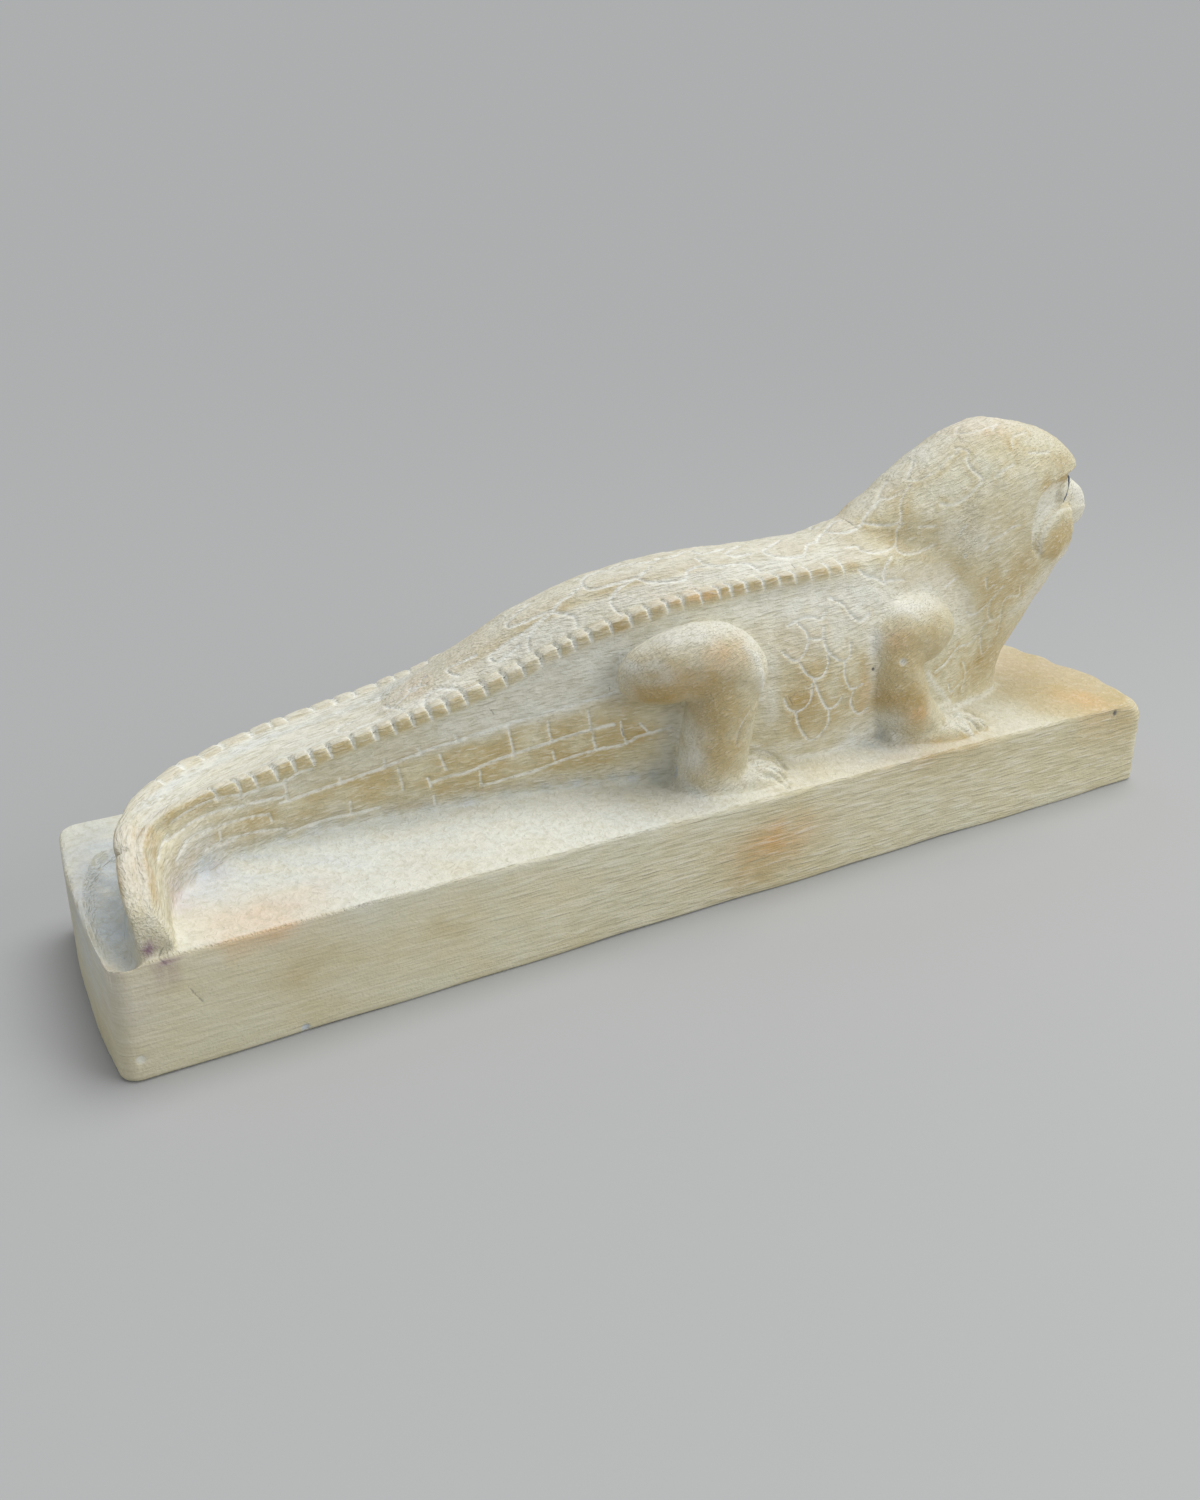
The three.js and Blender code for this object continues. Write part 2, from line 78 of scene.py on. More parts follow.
CAST = "crocodile_on_plinth"
LOW, HIGH = (np.array(corner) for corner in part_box(CAST))
GRID_LOW, GRID_HIGH = np.array([-2.8, -40.0, -33.0]), np.array([366.5, 41.0, 98.5])
PLINTH_DEEP = 33.0
PLINTH_MIDDLE = 0.5
PLINTH_HALF = 40.5
PLINTH_CORNER = 4.5
TOP_WEAR = 1.3
FOOT_WEAR = 0.8
TAIL_END = {"sign": -1, "reach": -2.8, "bow": 2.2, "lean": 0.9}
HEAD_END = {"sign": 1, "reach": 366.5, "bow": 2.8, "lean": 2.0}
WORN_CORNER, WORN_CORNER_WEAR, WORN_CORNER_REACH = (363, -37), 5.5, 13
WORN_END, WORN_END_WEAR = 352, 1.2


# The figure is squared up in millimetres: along from the tail end, across towards the far
# side, and up from the plinth's top. This puts such points in the frame, and reads them off it
def set_out(grid):
    return LOW + (grid - GRID_LOW) / (GRID_HIGH - GRID_LOW) * (HIGH - LOW)


def read_off(spot):
    return GRID_LOW + (np.array(spot) - LOW) / (HIGH - LOW) * (GRID_HIGH - GRID_LOW)


def ease(value, start, end):
    t = np.clip((value - start) / (end - start), 0, 1)
    return t * t * (3 - 2 * t)


# From 0 up to 1 between the first two places, and down to 0 again between the last two
def band(value, start, full, fading, end):
    return ease(value, start, full) * ease(value, end, fading)


def mix(a, b, t):
    return a + (b - a) * t


# A wavering value over points, from a few waves of about the given length in each direction
def waver(points, length, seed, waves=7):
    rng = np.random.default_rng(seed)
    total = np.zeros(len(points))
    for _ in range(waves):
        way = rng.normal(size=3)
        way /= np.linalg.norm(way) * length * rng.uniform(0.6, 1.6)
        total += np.sin(2 * math.pi * (points @ way + rng.uniform()))
    return total / math.sqrt(waves / 2)


def end_reach(end, across, up):
    bowed = end["bow"] * ((across - PLINTH_MIDDLE) / PLINTH_HALF) ** 2
    leaning = end["lean"] * (up + PLINTH_DEEP) / PLINTH_DEEP
    return end["reach"] - end["sign"] * (bowed + leaning)


# The plinth's outline in plan at one height, from its near corner at the head and round
def plinth_outline(up):
    side = PLINTH_HALF - PLINTH_CORNER
    turns = np.linspace(0, math.pi / 2, 9)
    face = np.linspace(-0.96, 0.96, 25) * side
    across = np.concatenate(
        [-side - PLINTH_CORNER * np.cos(turns), face, side + PLINTH_CORNER * np.sin(turns)])
    back = np.concatenate([1 - np.sin(turns), 0 * face, 1 - np.cos(turns)]) * PLINTH_CORNER
    ends = [np.stack([end_reach(end, PLINTH_MIDDLE + across, up) - end["sign"] * back,
                      PLINTH_MIDDLE + across], -1) for end in (HEAD_END, TAIL_END)]
    head, tail = ends[0], ends[1][::-1]
    along_side = np.linspace(0, 1, 122)[1:-1, None]
    return np.concatenate([
        head, mix(head[-1], tail[0], along_side), tail, mix(tail[-1], head[0], along_side)])


# How far the top edge is worn back at each point of the outline: most at the near corner of
# the head end, which has lost its arris
def edge_wear(outline):
    along, across = outline.T
    spots = np.stack([along, across, 0 * along], -1)
    uneven = 1 + 0.3 * waver(spots, 37, 3) + 0.2 * waver(spots, 14, 4)
    corner = np.hypot(along - WORN_CORNER[0], across - WORN_CORNER[1]) / WORN_CORNER_REACH
    end = WORN_END_WEAR * ease(along, WORN_END, WORN_END + 8) * (1.2 + waver(spots, 12, 5))
    wear = np.maximum(TOP_WEAR * uneven, 0.5) + np.maximum(end, 0)
    return wear + WORN_CORNER_WEAR * np.exp(-corner ** 2)


def plinth():
    outline = plinth_outline(0)
    forward = np.roll(outline, -1, 0) - np.roll(outline, 1, 0)
    inwards = np.stack([-forward[:, 1], forward[:, 0]], -1)
    inwards /= np.linalg.norm(inwards, axis=1, keepdims=True)
    wear = edge_wear(outline)

    def ring(up, inset):
        plan = plinth_outline(np.mean(up)) + inwards * inset[:, None]
        return np.concatenate([plan, up[:, None]], 1)

    level_wear = 0 * wear
    rings = [ring(level_wear - PLINTH_DEEP, level_wear + FOOT_WEAR)]
    for share in np.linspace(0, 1, 12):
        rings.append(ring(mix(FOOT_WEAR - PLINTH_DEEP, -wear, share), level_wear))
    for turn in np.linspace(0.15, 1, 7) * math.pi / 2:
        rings.append(ring(wear * (math.sin(turn) - 1), wear * (1 - math.cos(turn))))
    return loft(np.array(rings))


# A closed skin over rings of points laid one after another
def loft(rings):
    count, sides = rings.shape[:2]
    points = np.concatenate([rings.reshape(-1, 3), rings[:1].mean(1), rings[-1:].mean(1)])
    row, i = np.meshgrid(np.arange(count - 1), np.arange(sides), indexing="ij")
    a, b = row * sides + i, row * sides + (i + 1) % sides
    sleeve = np.stack([a, b, b + sides, a + sides], -1).reshape(-1, 4)
    i = np.arange(sides)
    near, far = count * sides, count * sides + 1
    last = (count - 1) * sides
    first_cap = np.stack([np.full(sides, near), (i + 1) % sides, i], -1)
    last_cap = np.stack([np.full(sides, far), last + i, last + (i + 1) % sides], -1)
    return points, [sleeve, first_cap, last_cap]


# The tail and body are one tapering form with a toothed crest along each side of its back.
# It lies straight from the shoulders to the hips; the tail swings to the far side and
# curls round to the near edge. Cast with the plinth, and carved before it was moulded.

CREST = 3.8
CREST_RISE = 0.85
CREST_ENDS = 206, 238
SUNK = -4.0


# A smooth curve through its knots that never swings past the values it joins. The knots'
# values may differ from point to point, along their first axis
def through(places, values, at):
    steps = np.diff(places).reshape((-1,) + (1,) * (values.ndim - 1))
    rise = np.diff(values, axis=0) / steps
    before, after = rise[:-1], rise[1:]
    both = np.where(before * after > 0, before + after, 1)
    inner = np.where(before * after > 0, 2 * before * after / both, 0)
    slopes = np.concatenate([rise[:1], inner, rise[-1:]])
    at = np.clip(at, places[0], places[-1])
    i = np.clip(np.searchsorted(places, at, side="right") - 1, 0, len(places) - 2)
    pick = (lambda row, k: row[k]) if values.ndim == 1 else (
        lambda row, k: np.take_along_axis(row, k[None], 0)[0])
    span = places[i + 1] - places[i]
    t = (at - places[i]) / span
    u = 1 - t
    ends = u * u * (1 + 2 * t) * pick(values, i) + t * t * (3 - 2 * t) * pick(values, i + 1)
    return ends + t * u * span * (u * pick(slopes, i) - t * pick(slopes, i + 1))


def curve(*knots):
    places, values = np.array(knots, float).T
    return lambda at: through(places, values, np.asarray(at, float))


line_along = curve((-23.6, 11.4), (-6, 12.8), (8.6, 17), (24.4, 27.2), (41.4, 42), (60, 60), (360, 360))
line_across = curve(
    (-23.6, -38.6), (-6, -22.4), (8.6, -9.6), (24.4, 2.2), (41.4, 10.6), (60, 14.4), (78, 15.2),
    (106, 13.4), (128, 11.8), (150, 8.8), (175, 4.6), (200, 1.4), (225, 0), (360, 0))
ridge_up = curve(
    (-23.6, 6), (-22.4, 10), (-18, 13.4), (-12, 16.2), (-6, 18.4), (0, 19.8), (12, 20.8), (41, 22.4),
    (60, 25), (90, 30.4), (120, 39), (150, 50), (180, 57.6), (205, 60.2), (240, 61.5), (300, 58))
crown_over = curve(
    (-23.6, 1.2), (8, -0.4), (30, -1.2), (84, -1), (97, 2.4), (112, 7), (133, 11), (150, 11),
    (180, 8.8), (205, 7), (225, 6.6), (240, 9.6), (250, 13.4), (262, 17), (300, 10))
outer_half = curve(
    (-23.6, 3.6), (-21, 4.2), (-6, 4.2), (8.6, 5.8), (24.4, 9), (41.4, 11.8), (60, 13.2), (90, 14.8),
    (120, 15.6), (180, 17), (235, 17), (300, 12))
inner_half = curve(
    (-23.6, 0.6), (-6, 0.8), (5, 1.8), (15, 4.4), (24.4, 7.2), (41.4, 11.2), (60, 13.2), (90, 14.8),
    (120, 15.6), (180, 17), (235, 17), (300, 12))
belly_half = curve(
    (-23.6, 3.8), (-6, 4.8), (8.6, 6.4), (24.4, 9.2), (41.4, 12.2), (60, 13.4), (92, 14.8),
    (128, 16.8), (165, 20.6), (190, 23.6), (215, 26), (235, 25.8), (262, 22), (300, 14))
foot_half = curve(
    (-23.6, 4.6), (-6, 5.6), (8.6, 6.8), (24.4, 9.2), (41.4, 11.6), (60, 12.8), (92, 13.7),
    (128, 15), (165, 18.6), (190, 20.6), (215, 21.4), (235, 21.8), (262, 18.6), (300, 11))
BODY_FROM, BODY_TO, LINE_TO = -23.6, 298.0, 360.0


def heading(place):
    place = np.clip(place, BODY_FROM + 0.5, None)
    rise = line_across(place + 0.5) - line_across(place - 0.5)
    return np.arctan2(rise, line_along(place + 0.5) - line_along(place - 0.5))


def on_body(place, side, up):
    turn = heading(place)
    along = line_along(place) - side * np.sin(turn)
    return np.stack([along, line_across(place) + side * np.cos(turn), up + 0 * along], -1)


# Round the curl the inner crest dies away and the outer one alone goes on to the tip
def ridge_half(place, side):
    return np.where(side < 0, inner_half(place), outer_half(place))


def crest_width(place, side):
    return np.minimum(CREST, 0.8 * ridge_half(place, side))


# The flank's half-width at a share of the ridge's height
def flank_half(place, side, share):
    half, belly, foot = ridge_half(place, side), belly_half(place), foot_half(place)
    widths = np.stack([
        foot, mix(foot, belly, 0.5), belly, mix(half, belly, 0.92), mix(half, belly, 0.55), half + 0.3])
    return through(np.array([0, 0.12, 0.3, 0.5, 0.72, 0.9]), widths, share)


def rounded_over(rows):
    for _ in range(60):
        rows = np.concatenate([rows[:1], (rows[:-2] + 2 * rows[1:-1] + rows[2:]) / 4, rows[-1:]])
    return rows


# Half of the body's section at each place, from the middle of the back to below the plinth's
# top. The crests die away into round shoulders
def half_section(place, side):
    half, ridge, crest = ridge_half(place, side), ridge_up(place), crest_width(place, side)
    channel = half - 0.8 * crest
    sides, ups = [], []
    for share in np.linspace(0, 0.97, 26):
        sides.append(channel * share)
        ups.append(ridge - 0.5 + (crown_over(place) - 0.5) * (1 - share ** 2.4))
    for turn in np.linspace(math.pi, 0, 13):
        sides.append(half - 0.27 * crest + 0.5 * crest * math.cos(turn))
        ups.append(ridge - 0.5 + CREST_RISE * math.sin(turn) ** 0.7)
    for drop, out in ((0.3, 0.25), (0.6, 0.25), (0.85, 0.22), (1.0, 0.16), (1.12, 0.05)):
        sides.append(half + out * crest)
        ups.append(ridge - drop * crest)
    for share in np.linspace(0.8, 0.02, 30):
        shares = share * (1 - 1.1 * crest / ridge) / 0.8 + 0 * place
        sides.append(flank_half(place, side, shares))
        ups.append(ridge * shares)
    sides.append(foot_half(place))
    ups.append(SUNK + 0 * place)
    fade = ease(place, *CREST_ENDS) + (side < 0) * ease(place, 9, -1)
    return [mix(rows, rounded_over(rows), fade) for rows in (np.array(sides), np.array(ups))]


def body():
    places = np.linspace(BODY_FROM, BODY_TO, 520)
    far = np.stack([on_body(places, out, up) for out, up in zip(*half_section(places, 1))], 1)
    near = np.stack([on_body(places, -out, up) for out, up in zip(*half_section(places, -1))], 1)
    near = near[:, :0:-1]
    return loft(np.concatenate([far, near], 1))


# The neck rises from the shoulders into a scaled hood like a falcon's. The face is sunk
# behind the hood's edge, which overhangs it as a brow, and a full jaw stands out below.

HOOD_STEP = 2.5
JAW_SWELL = 0.8
CROWN_UP = 98.5
neck_back = curve(
    (-4, 270), (40, 266), (58, 250), (68, 240), (77.7, 253.6), (87.3, 269.2), (93, 279.8),
    (96, 287), (97.8, 293.6), (98.5, 299))
neck_front = curve(
    (-4, 325), (6, 321.5), (13, 322.2), (22, 327.4), (30, 332.8), (38, 338.6), (45, 343.9),
    (51, 348), (56, 348.6), (62, 346.6), (76, 345), (79, 345.8), (82, 345.2), (86, 341),
    (91, 332.8), (94.5, 323.4), (97, 313.2), (98.5, 303))
neck_half = curve(
    (-4, 11.6), (6, 11.4), (14, 12.4), (30, 15.2), (44, 17), (58, 17.6), (70, 17.6), (80, 16.6),
    (87, 14.4), (92, 11.4), (95.5, 8.2), (97.6, 5), (98.5, 2.4))
neck_widest = curve((-4, 290), (30, 296), (60, 300), (80, 302), (98.5, 300))
HOOD_EDGE = [
    (360, 80.4), (343, 80), (331, 79), (321, 77.4), (314.8, 74), (312.6, 69.5), (312.4, 64), (313, 60),
    (315, 55)]
UNDER_JAW = [(318.5, 52), (323, 50)]
JAW_EDGE = [
    (319.6, 53.6), (318.4, 57), (319.6, 60.4), (322.4, 64), (325.8, 66.6), (332, 67.2), (340, 66), (360, 64)]
JAW_CUT = [(360, 46), (330, 45)]


# How far each [along, up] place lies inside an outline; negative outside it
def inside(outline, along, up):
    points = np.array(outline, float)
    nearest = np.full(along.shape, 1e9)
    within = np.zeros(along.shape, bool)
    for (x0, y0), (x1, y1) in zip(points, np.roll(points, -1, 0)):
        run, rise = x1 - x0, y1 - y0
        t = np.clip(((along - x0) * run + (up - y0) * rise) / (run * run + rise * rise), 0, 1)
        nearest = np.minimum(nearest, np.hypot(along - x0 - t * run, up - y0 - t * rise))
        crosses = (y0 > up) != (y1 > up)
        at = x0 + (up - y0) * run / (rise if rise else 1)
        within ^= crosses & (along < at)
    return np.where(within, nearest, -nearest)


def neck_and_head():
    ups = np.concatenate([np.linspace(-4, 90, 236), mix(90, CROWN_UP, np.linspace(0, 1, 31)[1:] ** 0.7)])
    turns = np.linspace(0, 2 * math.pi, 300, endpoint=False)
    up, turn = np.meshgrid(ups, turns, indexing="ij")
    widest = neck_widest(up)
    reach = np.where(np.cos(turn) > 0, neck_front(up) - widest, widest - neck_back(up))
    along = widest + reach * np.cos(turn)
    face = inside(HOOD_EDGE + UNDER_JAW + JAW_EDGE, along, up)
    jaw = inside(JAW_EDGE + JAW_CUT + UNDER_JAW[::-1], along, up)
    sink = HOOD_STEP * ease(face, 0, 1.8) - JAW_SWELL * ease(jaw, 0, 5)
    along = widest + (reach - sink) * np.cos(turn)
    return loft(np.stack([along, (neck_half(up) - sink) * np.sin(turn), up], -1))


# The beak is short, deep and round in profile, like half a moon set on the front of the
# face. It is plain plaster, cast in one with the head, with no nostrils cut in it.

BEAK_LOW, BEAK_TOP = 56.2, 75.4
BEAK_ROOT = 338.0
beak_reach = curve(
    (BEAK_LOW, 352), (57.5, 356.2), (60.5, 358.3), (64, 358.1), (69, 355.7), (BEAK_TOP, 346.6))
beak_half = curve((BEAK_LOW, 1.6), (58.5, 3.4), (64, 4.8), (70, 4.6), (BEAK_TOP, 2.4))


def beak():
    up, turn = np.meshgrid(
        np.linspace(BEAK_LOW, BEAK_TOP, 50), np.linspace(0, 2 * math.pi, 48, endpoint=False),
        indexing="ij")
    along = BEAK_ROOT + (beak_reach(up) - BEAK_ROOT) * np.cos(turn)
    return loft(np.stack([along, beak_half(up) * np.sin(turn), up], -1))


# Each eye is an almond ball within a raised rim, looking forwards and outwards. Its outline
# is painted with one thin blue-black line.

EYE_UP, EYE_BACK, EYE_TURN = 73.0, 9.4, 0.6
EYE_LONG, EYE_HIGH, EYE_RIM = 7.8, 5.4, 1.3
EYE_LINE_AT = 0.8


def eye_frame(side):
    along = float(neck_front(EYE_UP)) - EYE_BACK
    widest = float(neck_widest(EYE_UP))
    share = (along - widest) / (float(neck_front(EYE_UP)) - widest - HOOD_STEP)
    across = (float(neck_half(EYE_UP)) - HOOD_STEP) * math.sqrt(1 - share ** 2)
    run = np.array([math.cos(EYE_TURN), -side * math.sin(EYE_TURN), 0])
    out = np.array([math.sin(EYE_TURN), side * math.cos(EYE_TURN), 0])
    return np.array([along, side * across, EYE_UP]), run, out


def almond(side, size, out_by):
    centre, run, out = eye_frame(side)
    turn = np.linspace(0, 2 * math.pi, 60, endpoint=False)[:, None]
    rise = np.sin(turn) * np.abs(np.sin(turn)) ** 0.5
    level = centre + size * EYE_LONG * np.cos(turn) * run + out_by * out
    return level + np.array([0, 0, 1]) * size * EYE_HIGH * rise


def eye(side):
    return loft(np.array([
        almond(side, 1.1, -3), almond(side, 1.02, 0.5), almond(side, 0.93, EYE_RIM),
        almond(side, 0.84, EYE_RIM), almond(side, EYE_LINE_AT, 0.7), almond(side, 0.72, 0.3),
        almond(side, 0.5, 1.0), almond(side, 0.2, 1.3)]))


# The legs are cast with the body: a bulging upper limb, a thick shank and a flat foot with
# four toes forward. The far pair mirrors the near pair.

HIND_MIDDLE = 1.2
THIGH = [
    (151, 14, 35, 3, 3), (154.5, 15.8, 35.6, 7.4, 6), (161, 18.6, 37.2, 10, 8.4),
    (169, 21.2, 39.4, 11.6, 9.4), (178, 23.4, 39.4, 11.8, 10), (185, 24.6, 35.4, 10.4, 10),
    (187, 24.8, 30, 7, 8)]
SHANK = [
    (183, 23.5, 41, 4, 5), (182.4, 24.2, 36, 9.4, 9.2), (181, 24.8, 28, 11, 9.6),
    (179.4, 24.8, 16, 11.2, 9.2), (178.4, 24.4, 6, 11.4, 9.4), (178.4, 24, -4, 12.4, 10.6)]
HIND_FOOT = [
    (170, 18, 29, 5), (174, 13.5, 33, 6.4), (182, 12, 35.6, 7), (191, 12.4, 36, 5.2),
    (198, 13.6, 35, 3.4), (202.4, 17, 32, 1)]
UPPER_ARM = [
    (238.4, 15, 33, 3.4, 3), (242.6, 17.2, 34, 8.6, 8), (249.6, 19, 34.8, 12, 10),
    (258.6, 19.2, 35.2, 12.2, 10.2), (267.4, 17.8, 34.6, 10.4, 9), (274, 15.2, 33.8, 6.6, 6.4),
    (277.6, 13, 33, 2, 3)]
FOREARM = [
    (253, 20, 38, 5, 5), (252.8, 20, 35, 10, 8.6), (252.4, 20.4, 31, 11.4, 9.2),
    (250.5, 21.2, 26, 11, 9.2), (252, 22.6, 18, 10.6, 9.2), (257, 23.4, 9, 9.8, 9.2),
    (264, 23.6, 1, 9.6, 9.6), (266.5, 23.6, -4, 9.6, 9.6)]
FORE_FOOT = [
    (248, 19, 28, 4.8), (257, 14, 33, 6.2), (266, 12, 36, 7.2), (275, 12, 36.2, 5.2),
    (283, 12, 34.6, 3.4), (287.4, 14.2, 32, 1)]
HIND_TOES, FORE_TOES = 203.6, 289
TOE_RADIUS = 2.7
TOE_ROOT, ROOTS_APART = 17, 4.6
TOE_END, ENDS_APART = 15.4, 5.7
TOE_SWELL = (0.15, 0.9, 1.0, 0.92, 0.2)


# Points filled in between a few, on a smooth curve through them
def fill_in(points, between):
    points = np.array(points, float)
    padded = np.concatenate([2 * points[:1] - points[1:2], points, 2 * points[-1:] - points[-2:-1]])
    a, b, c, d = padded[:-3, None], padded[1:-2, None], padded[2:-1, None], padded[3:, None]
    t = (np.arange(between) / between)[None, :, None]
    bent = b + t * (c - a) / 2 + t ** 2 * (a - 2.5 * b + 2 * c - d / 2) + t ** 3 * (d - 3 * c + 3 * b - a) / 2
    return np.concatenate([bent.reshape(-1, points.shape[1]), points[-1:]])


def limb(stations, sides=40):
    filled = fill_in(stations, 8)
    centre, depth, thickness = filled[:, :3], filled[:, 3:4], filled[:, 4:5]
    run = np.gradient(centre, axis=0)
    across = np.array([0, 1, 0]) - run * run[:, 1:2] / (run ** 2).sum(1, keepdims=True)
    across /= np.linalg.norm(across, axis=1, keepdims=True)
    up = np.cross(run, across)
    up /= np.linalg.norm(up, axis=1, keepdims=True)
    turn = np.linspace(0, 2 * math.pi, sides, endpoint=False)[None, :, None]
    ring = centre[:, None] + (up * depth)[:, None] * np.sin(turn)
    return loft(ring + (across * thickness)[:, None] * np.cos(turn))


def on_side(side, middle, stations):
    return [(along, middle + side * across, *rest) for along, across, *rest in stations]


def foot(side, middle, rings, tip):
    rings = fill_in(rings, 6)
    turn = np.linspace(0, math.pi, 25)[None]
    along, inner, outer, rise = (rings[:, i:i + 1] for i in range(4))
    across = mix(outer, inner, (1 - np.cos(turn)) / 2)
    arch = np.stack([along + 0 * across, middle + side * across, rise * np.sin(turn) ** 0.7 - 0.3], -1)
    low = [np.concatenate([along, middle + side * edge, SUNK + 0 * along], 1)[:, None]
           for edge in (inner, outer)]
    forms = [loft(np.concatenate([arch] + low, 1))]
    for toe in range(4):
        root, end = TOE_ROOT + toe * ROOTS_APART, TOE_END + toe * ENDS_APART
        reach = tip + 1 - abs(toe - 1.2)
        path = [(tip - 15, root, 3.0), (tip - 8, mix(root, end, 0.5), 2.2), (reach, end, -1.0)]
        spots = fill_in(path, 2)
        stations = [(*spot, TOE_RADIUS * s, TOE_RADIUS * s) for spot, s in zip(spots, TOE_SWELL)]
        forms.append(limb(on_side(side, middle, stations), 20))
    return forms


def legs(side):
    hind = [limb(on_side(side, HIND_MIDDLE, stations)) for stations in (THIGH, SHANK)]
    fore = [limb(on_side(side, 0, stations)) for stations in (UPPER_ARM, FOREARM)]
    feet = foot(side, HIND_MIDDLE, HIND_FOOT, HIND_TOES) + foot(side, 0, FORE_FOOT, FORE_TOES)
    return hind + fore + feet


# The casting: all of these forms run together in one piece of plaster, and the corners
# between them are filled with soft coves, as a moulder leaves them.

VOXEL = 0.45
COVE_ROUNDS = 60
BATCH = 50000


def joined(forms):
    points, faces, base = [], [], 0
    for form_points, form_faces in forms:
        points.append(form_points)
        for group in form_faces:
            faces.extend((group + base).tolist())
        base += len(form_points)
    mesh = bpy.data.meshes.new("crocodile_casting")
    mesh.from_pydata(np.concatenate(points).tolist(), [], faces)
    return mesh


def settled(piece):
    depsgraph = bpy.context.evaluated_depsgraph_get()
    mesh = bpy.data.meshes.new_from_object(piece.evaluated_get(depsgraph))
    piece.modifiers.clear()
    old = piece.data
    piece.data = mesh
    bpy.data.meshes.remove(old)
    return mesh


forms = [plinth(), body(), neck_and_head(), beak(), *legs(-1), *legs(1), eye(-1), eye(1)]
casting = bpy.data.objects.new("crocodile_casting", joined(forms))
bpy.context.scene.collection.objects.link(casting)
remesh = casting.modifiers.new("run together", "REMESH")
remesh.mode = "VOXEL"
remesh.voxel_size = VOXEL
mesh = settled(casting)


def read_rows(source, name, width, kind):
    flat = np.empty(len(source) * width, kind)
    source.foreach_get(name, flat)
    return flat.reshape(-1, width)


def pull_of(points, edges, count):
    pull = np.empty_like(points)
    for axis in range(3):
        pull[:, axis] = np.bincount(edges[:, 0], points[edges[:, 1], axis], minlength=len(points))
        pull[:, axis] += np.bincount(edges[:, 1], points[edges[:, 0], axis], minlength=len(points))
    return pull / count - points


# Where each point lies on the figure: its place along the body's line, how far to the side
# of it, and how high; with what the body measures there
def survey(points):
    samples = np.arange(BODY_FROM, LINE_TO, 3.0)
    along, across = line_along(samples), line_across(samples)
    place = np.empty(len(points))
    for start in range(0, len(points), BATCH):
        block = points[start:start + BATCH]
        gap = (block[:, :1] - along) ** 2 + (block[:, 1:2] - across) ** 2
        place[start:start + BATCH] = samples[gap.argmin(1)]
    for _ in range(5):
        turn = heading(place)
        ahead_by = points[:, 0] - line_along(place), points[:, 1] - line_across(place)
        place = place + ahead_by[0] * np.cos(turn) + ahead_by[1] * np.sin(turn)
        place = np.clip(place, BODY_FROM, LINE_TO)
    side = -ahead_by[0] * np.sin(turn) + ahead_by[1] * np.cos(turn)
    ridge, half = ridge_up(place), ridge_half(place, side)
    up = points[:, 2]
    flank = flank_half(place, side, np.clip(up / ridge, 0, 0.9))
    return SimpleNamespace(
        place=place, side=side, out=np.abs(side), up=up, ridge=ridge, half=half, drop=ridge - up,
        share=up / ridge, crest=crest_width(place, side), proud=np.abs(side) - flank)


points = read_rows(mesh.vertices, "co", 3, np.float32).astype(float)
normals = read_rows(mesh.vertex_normals, "vector", 3, np.float32).astype(float)
edges = read_rows(mesh.edges, "vertices", 2, np.int32)
count = np.bincount(edges.ravel(), minlength=len(points))[:, None]

# Past the tail's tip a shallow round channel is scooped across the plinth's top
END_HOLLOW = [(5, -34.5), (4.8, -26), (5.2, -16), (6.2, -5), (8, 5), (11, 14)]
HOLLOW_RADIUS, HOLLOW_AXIS = 6.6, 2.8
HOLLOW_TO, HOLLOW_REACH = 20, 8

hollow_line = fill_in(END_HOLLOW, 12)
near_hollow = np.nonzero((points[:, 0] < HOLLOW_TO) & (np.abs(points[:, 2]) < HOLLOW_REACH))[0]
gap = np.hypot(*(points[near_hollow, None, :2] - hollow_line).transpose(2, 0, 1)).min(1)
sunk_by = np.sqrt(np.maximum(HOLLOW_RADIUS ** 2 - gap ** 2, HOLLOW_AXIS ** 2)) - HOLLOW_AXIS
points[near_hollow, 2] -= sunk_by * ease(np.abs(points[near_hollow, 2]), HOLLOW_REACH, 0)

at = survey(points)
face_part = ease(at.place, 305, 312) * ease(at.up, 44, 50)
crest_part = ease(at.drop, 8, 5) * ease(at.out, at.half + 4, at.half + 2) * ease(at.place, 236, 212)
hind_toes, fore_toes = band(at.place, 182, 188, 204, 210), ease(at.place, 264, 272)
toe_part = ease(at.up, 9, 6) * ease(at.out, 12, 16) * (hind_toes + fore_toes)
coved = np.clip(1 - face_part - crest_part - 0.7 * toe_part, 0, 1) * ease(at.up, -3, -1)
neck_part = band(at.place, 222, 240, 280, 300) * ease(at.up, 44, 54)

before = points.copy()
for turn in range(COVE_ROUNDS):
    pull = pull_of(points, edges, count)
    hollow = ease((pull * normals).sum(1), 0, 0.03)
    amount = 0.5 * hollow * (1 - 0.8 * face_part if turn < 6 else coved)
    if turn < 2:
        amount = 0.5 + 0 * amount
    points = points + np.maximum(amount, 0.5 * neck_part)[:, None] * pull
cove = np.linalg.norm(points - before, axis=1)

# What the carver and the painter lay on the casting: a depth to cut at each point, and a
# share of each wash of colour, some of which also paint light and shade onto it. The washes
# are thin, and later ones let earlier ones through.
# Chalky dust fills the carved lines; how far each point lies from its edge is kept apart.

WASH_AND_PAINTED_LIGHT_LAYERS = ("pale", "tan", "ochre", "apricot", "rose", "plum", "cool", "dark")

mesh.vertices.foreach_set("co", points.astype(np.float32).ravel())
mesh.update()
bpy.context.view_layer.update()
normals = read_rows(mesh.vertex_normals, "vector", 3, np.float32).astype(float)
at = survey(points)
depth = np.zeros(len(points))
washes_and_painted_light = {name: np.zeros(len(points)) for name in WASH_AND_PAINTED_LIGHT_LAYERS}
chalk_edge = np.full(len(points), 9.0)
rng = np.random.default_rng(8)

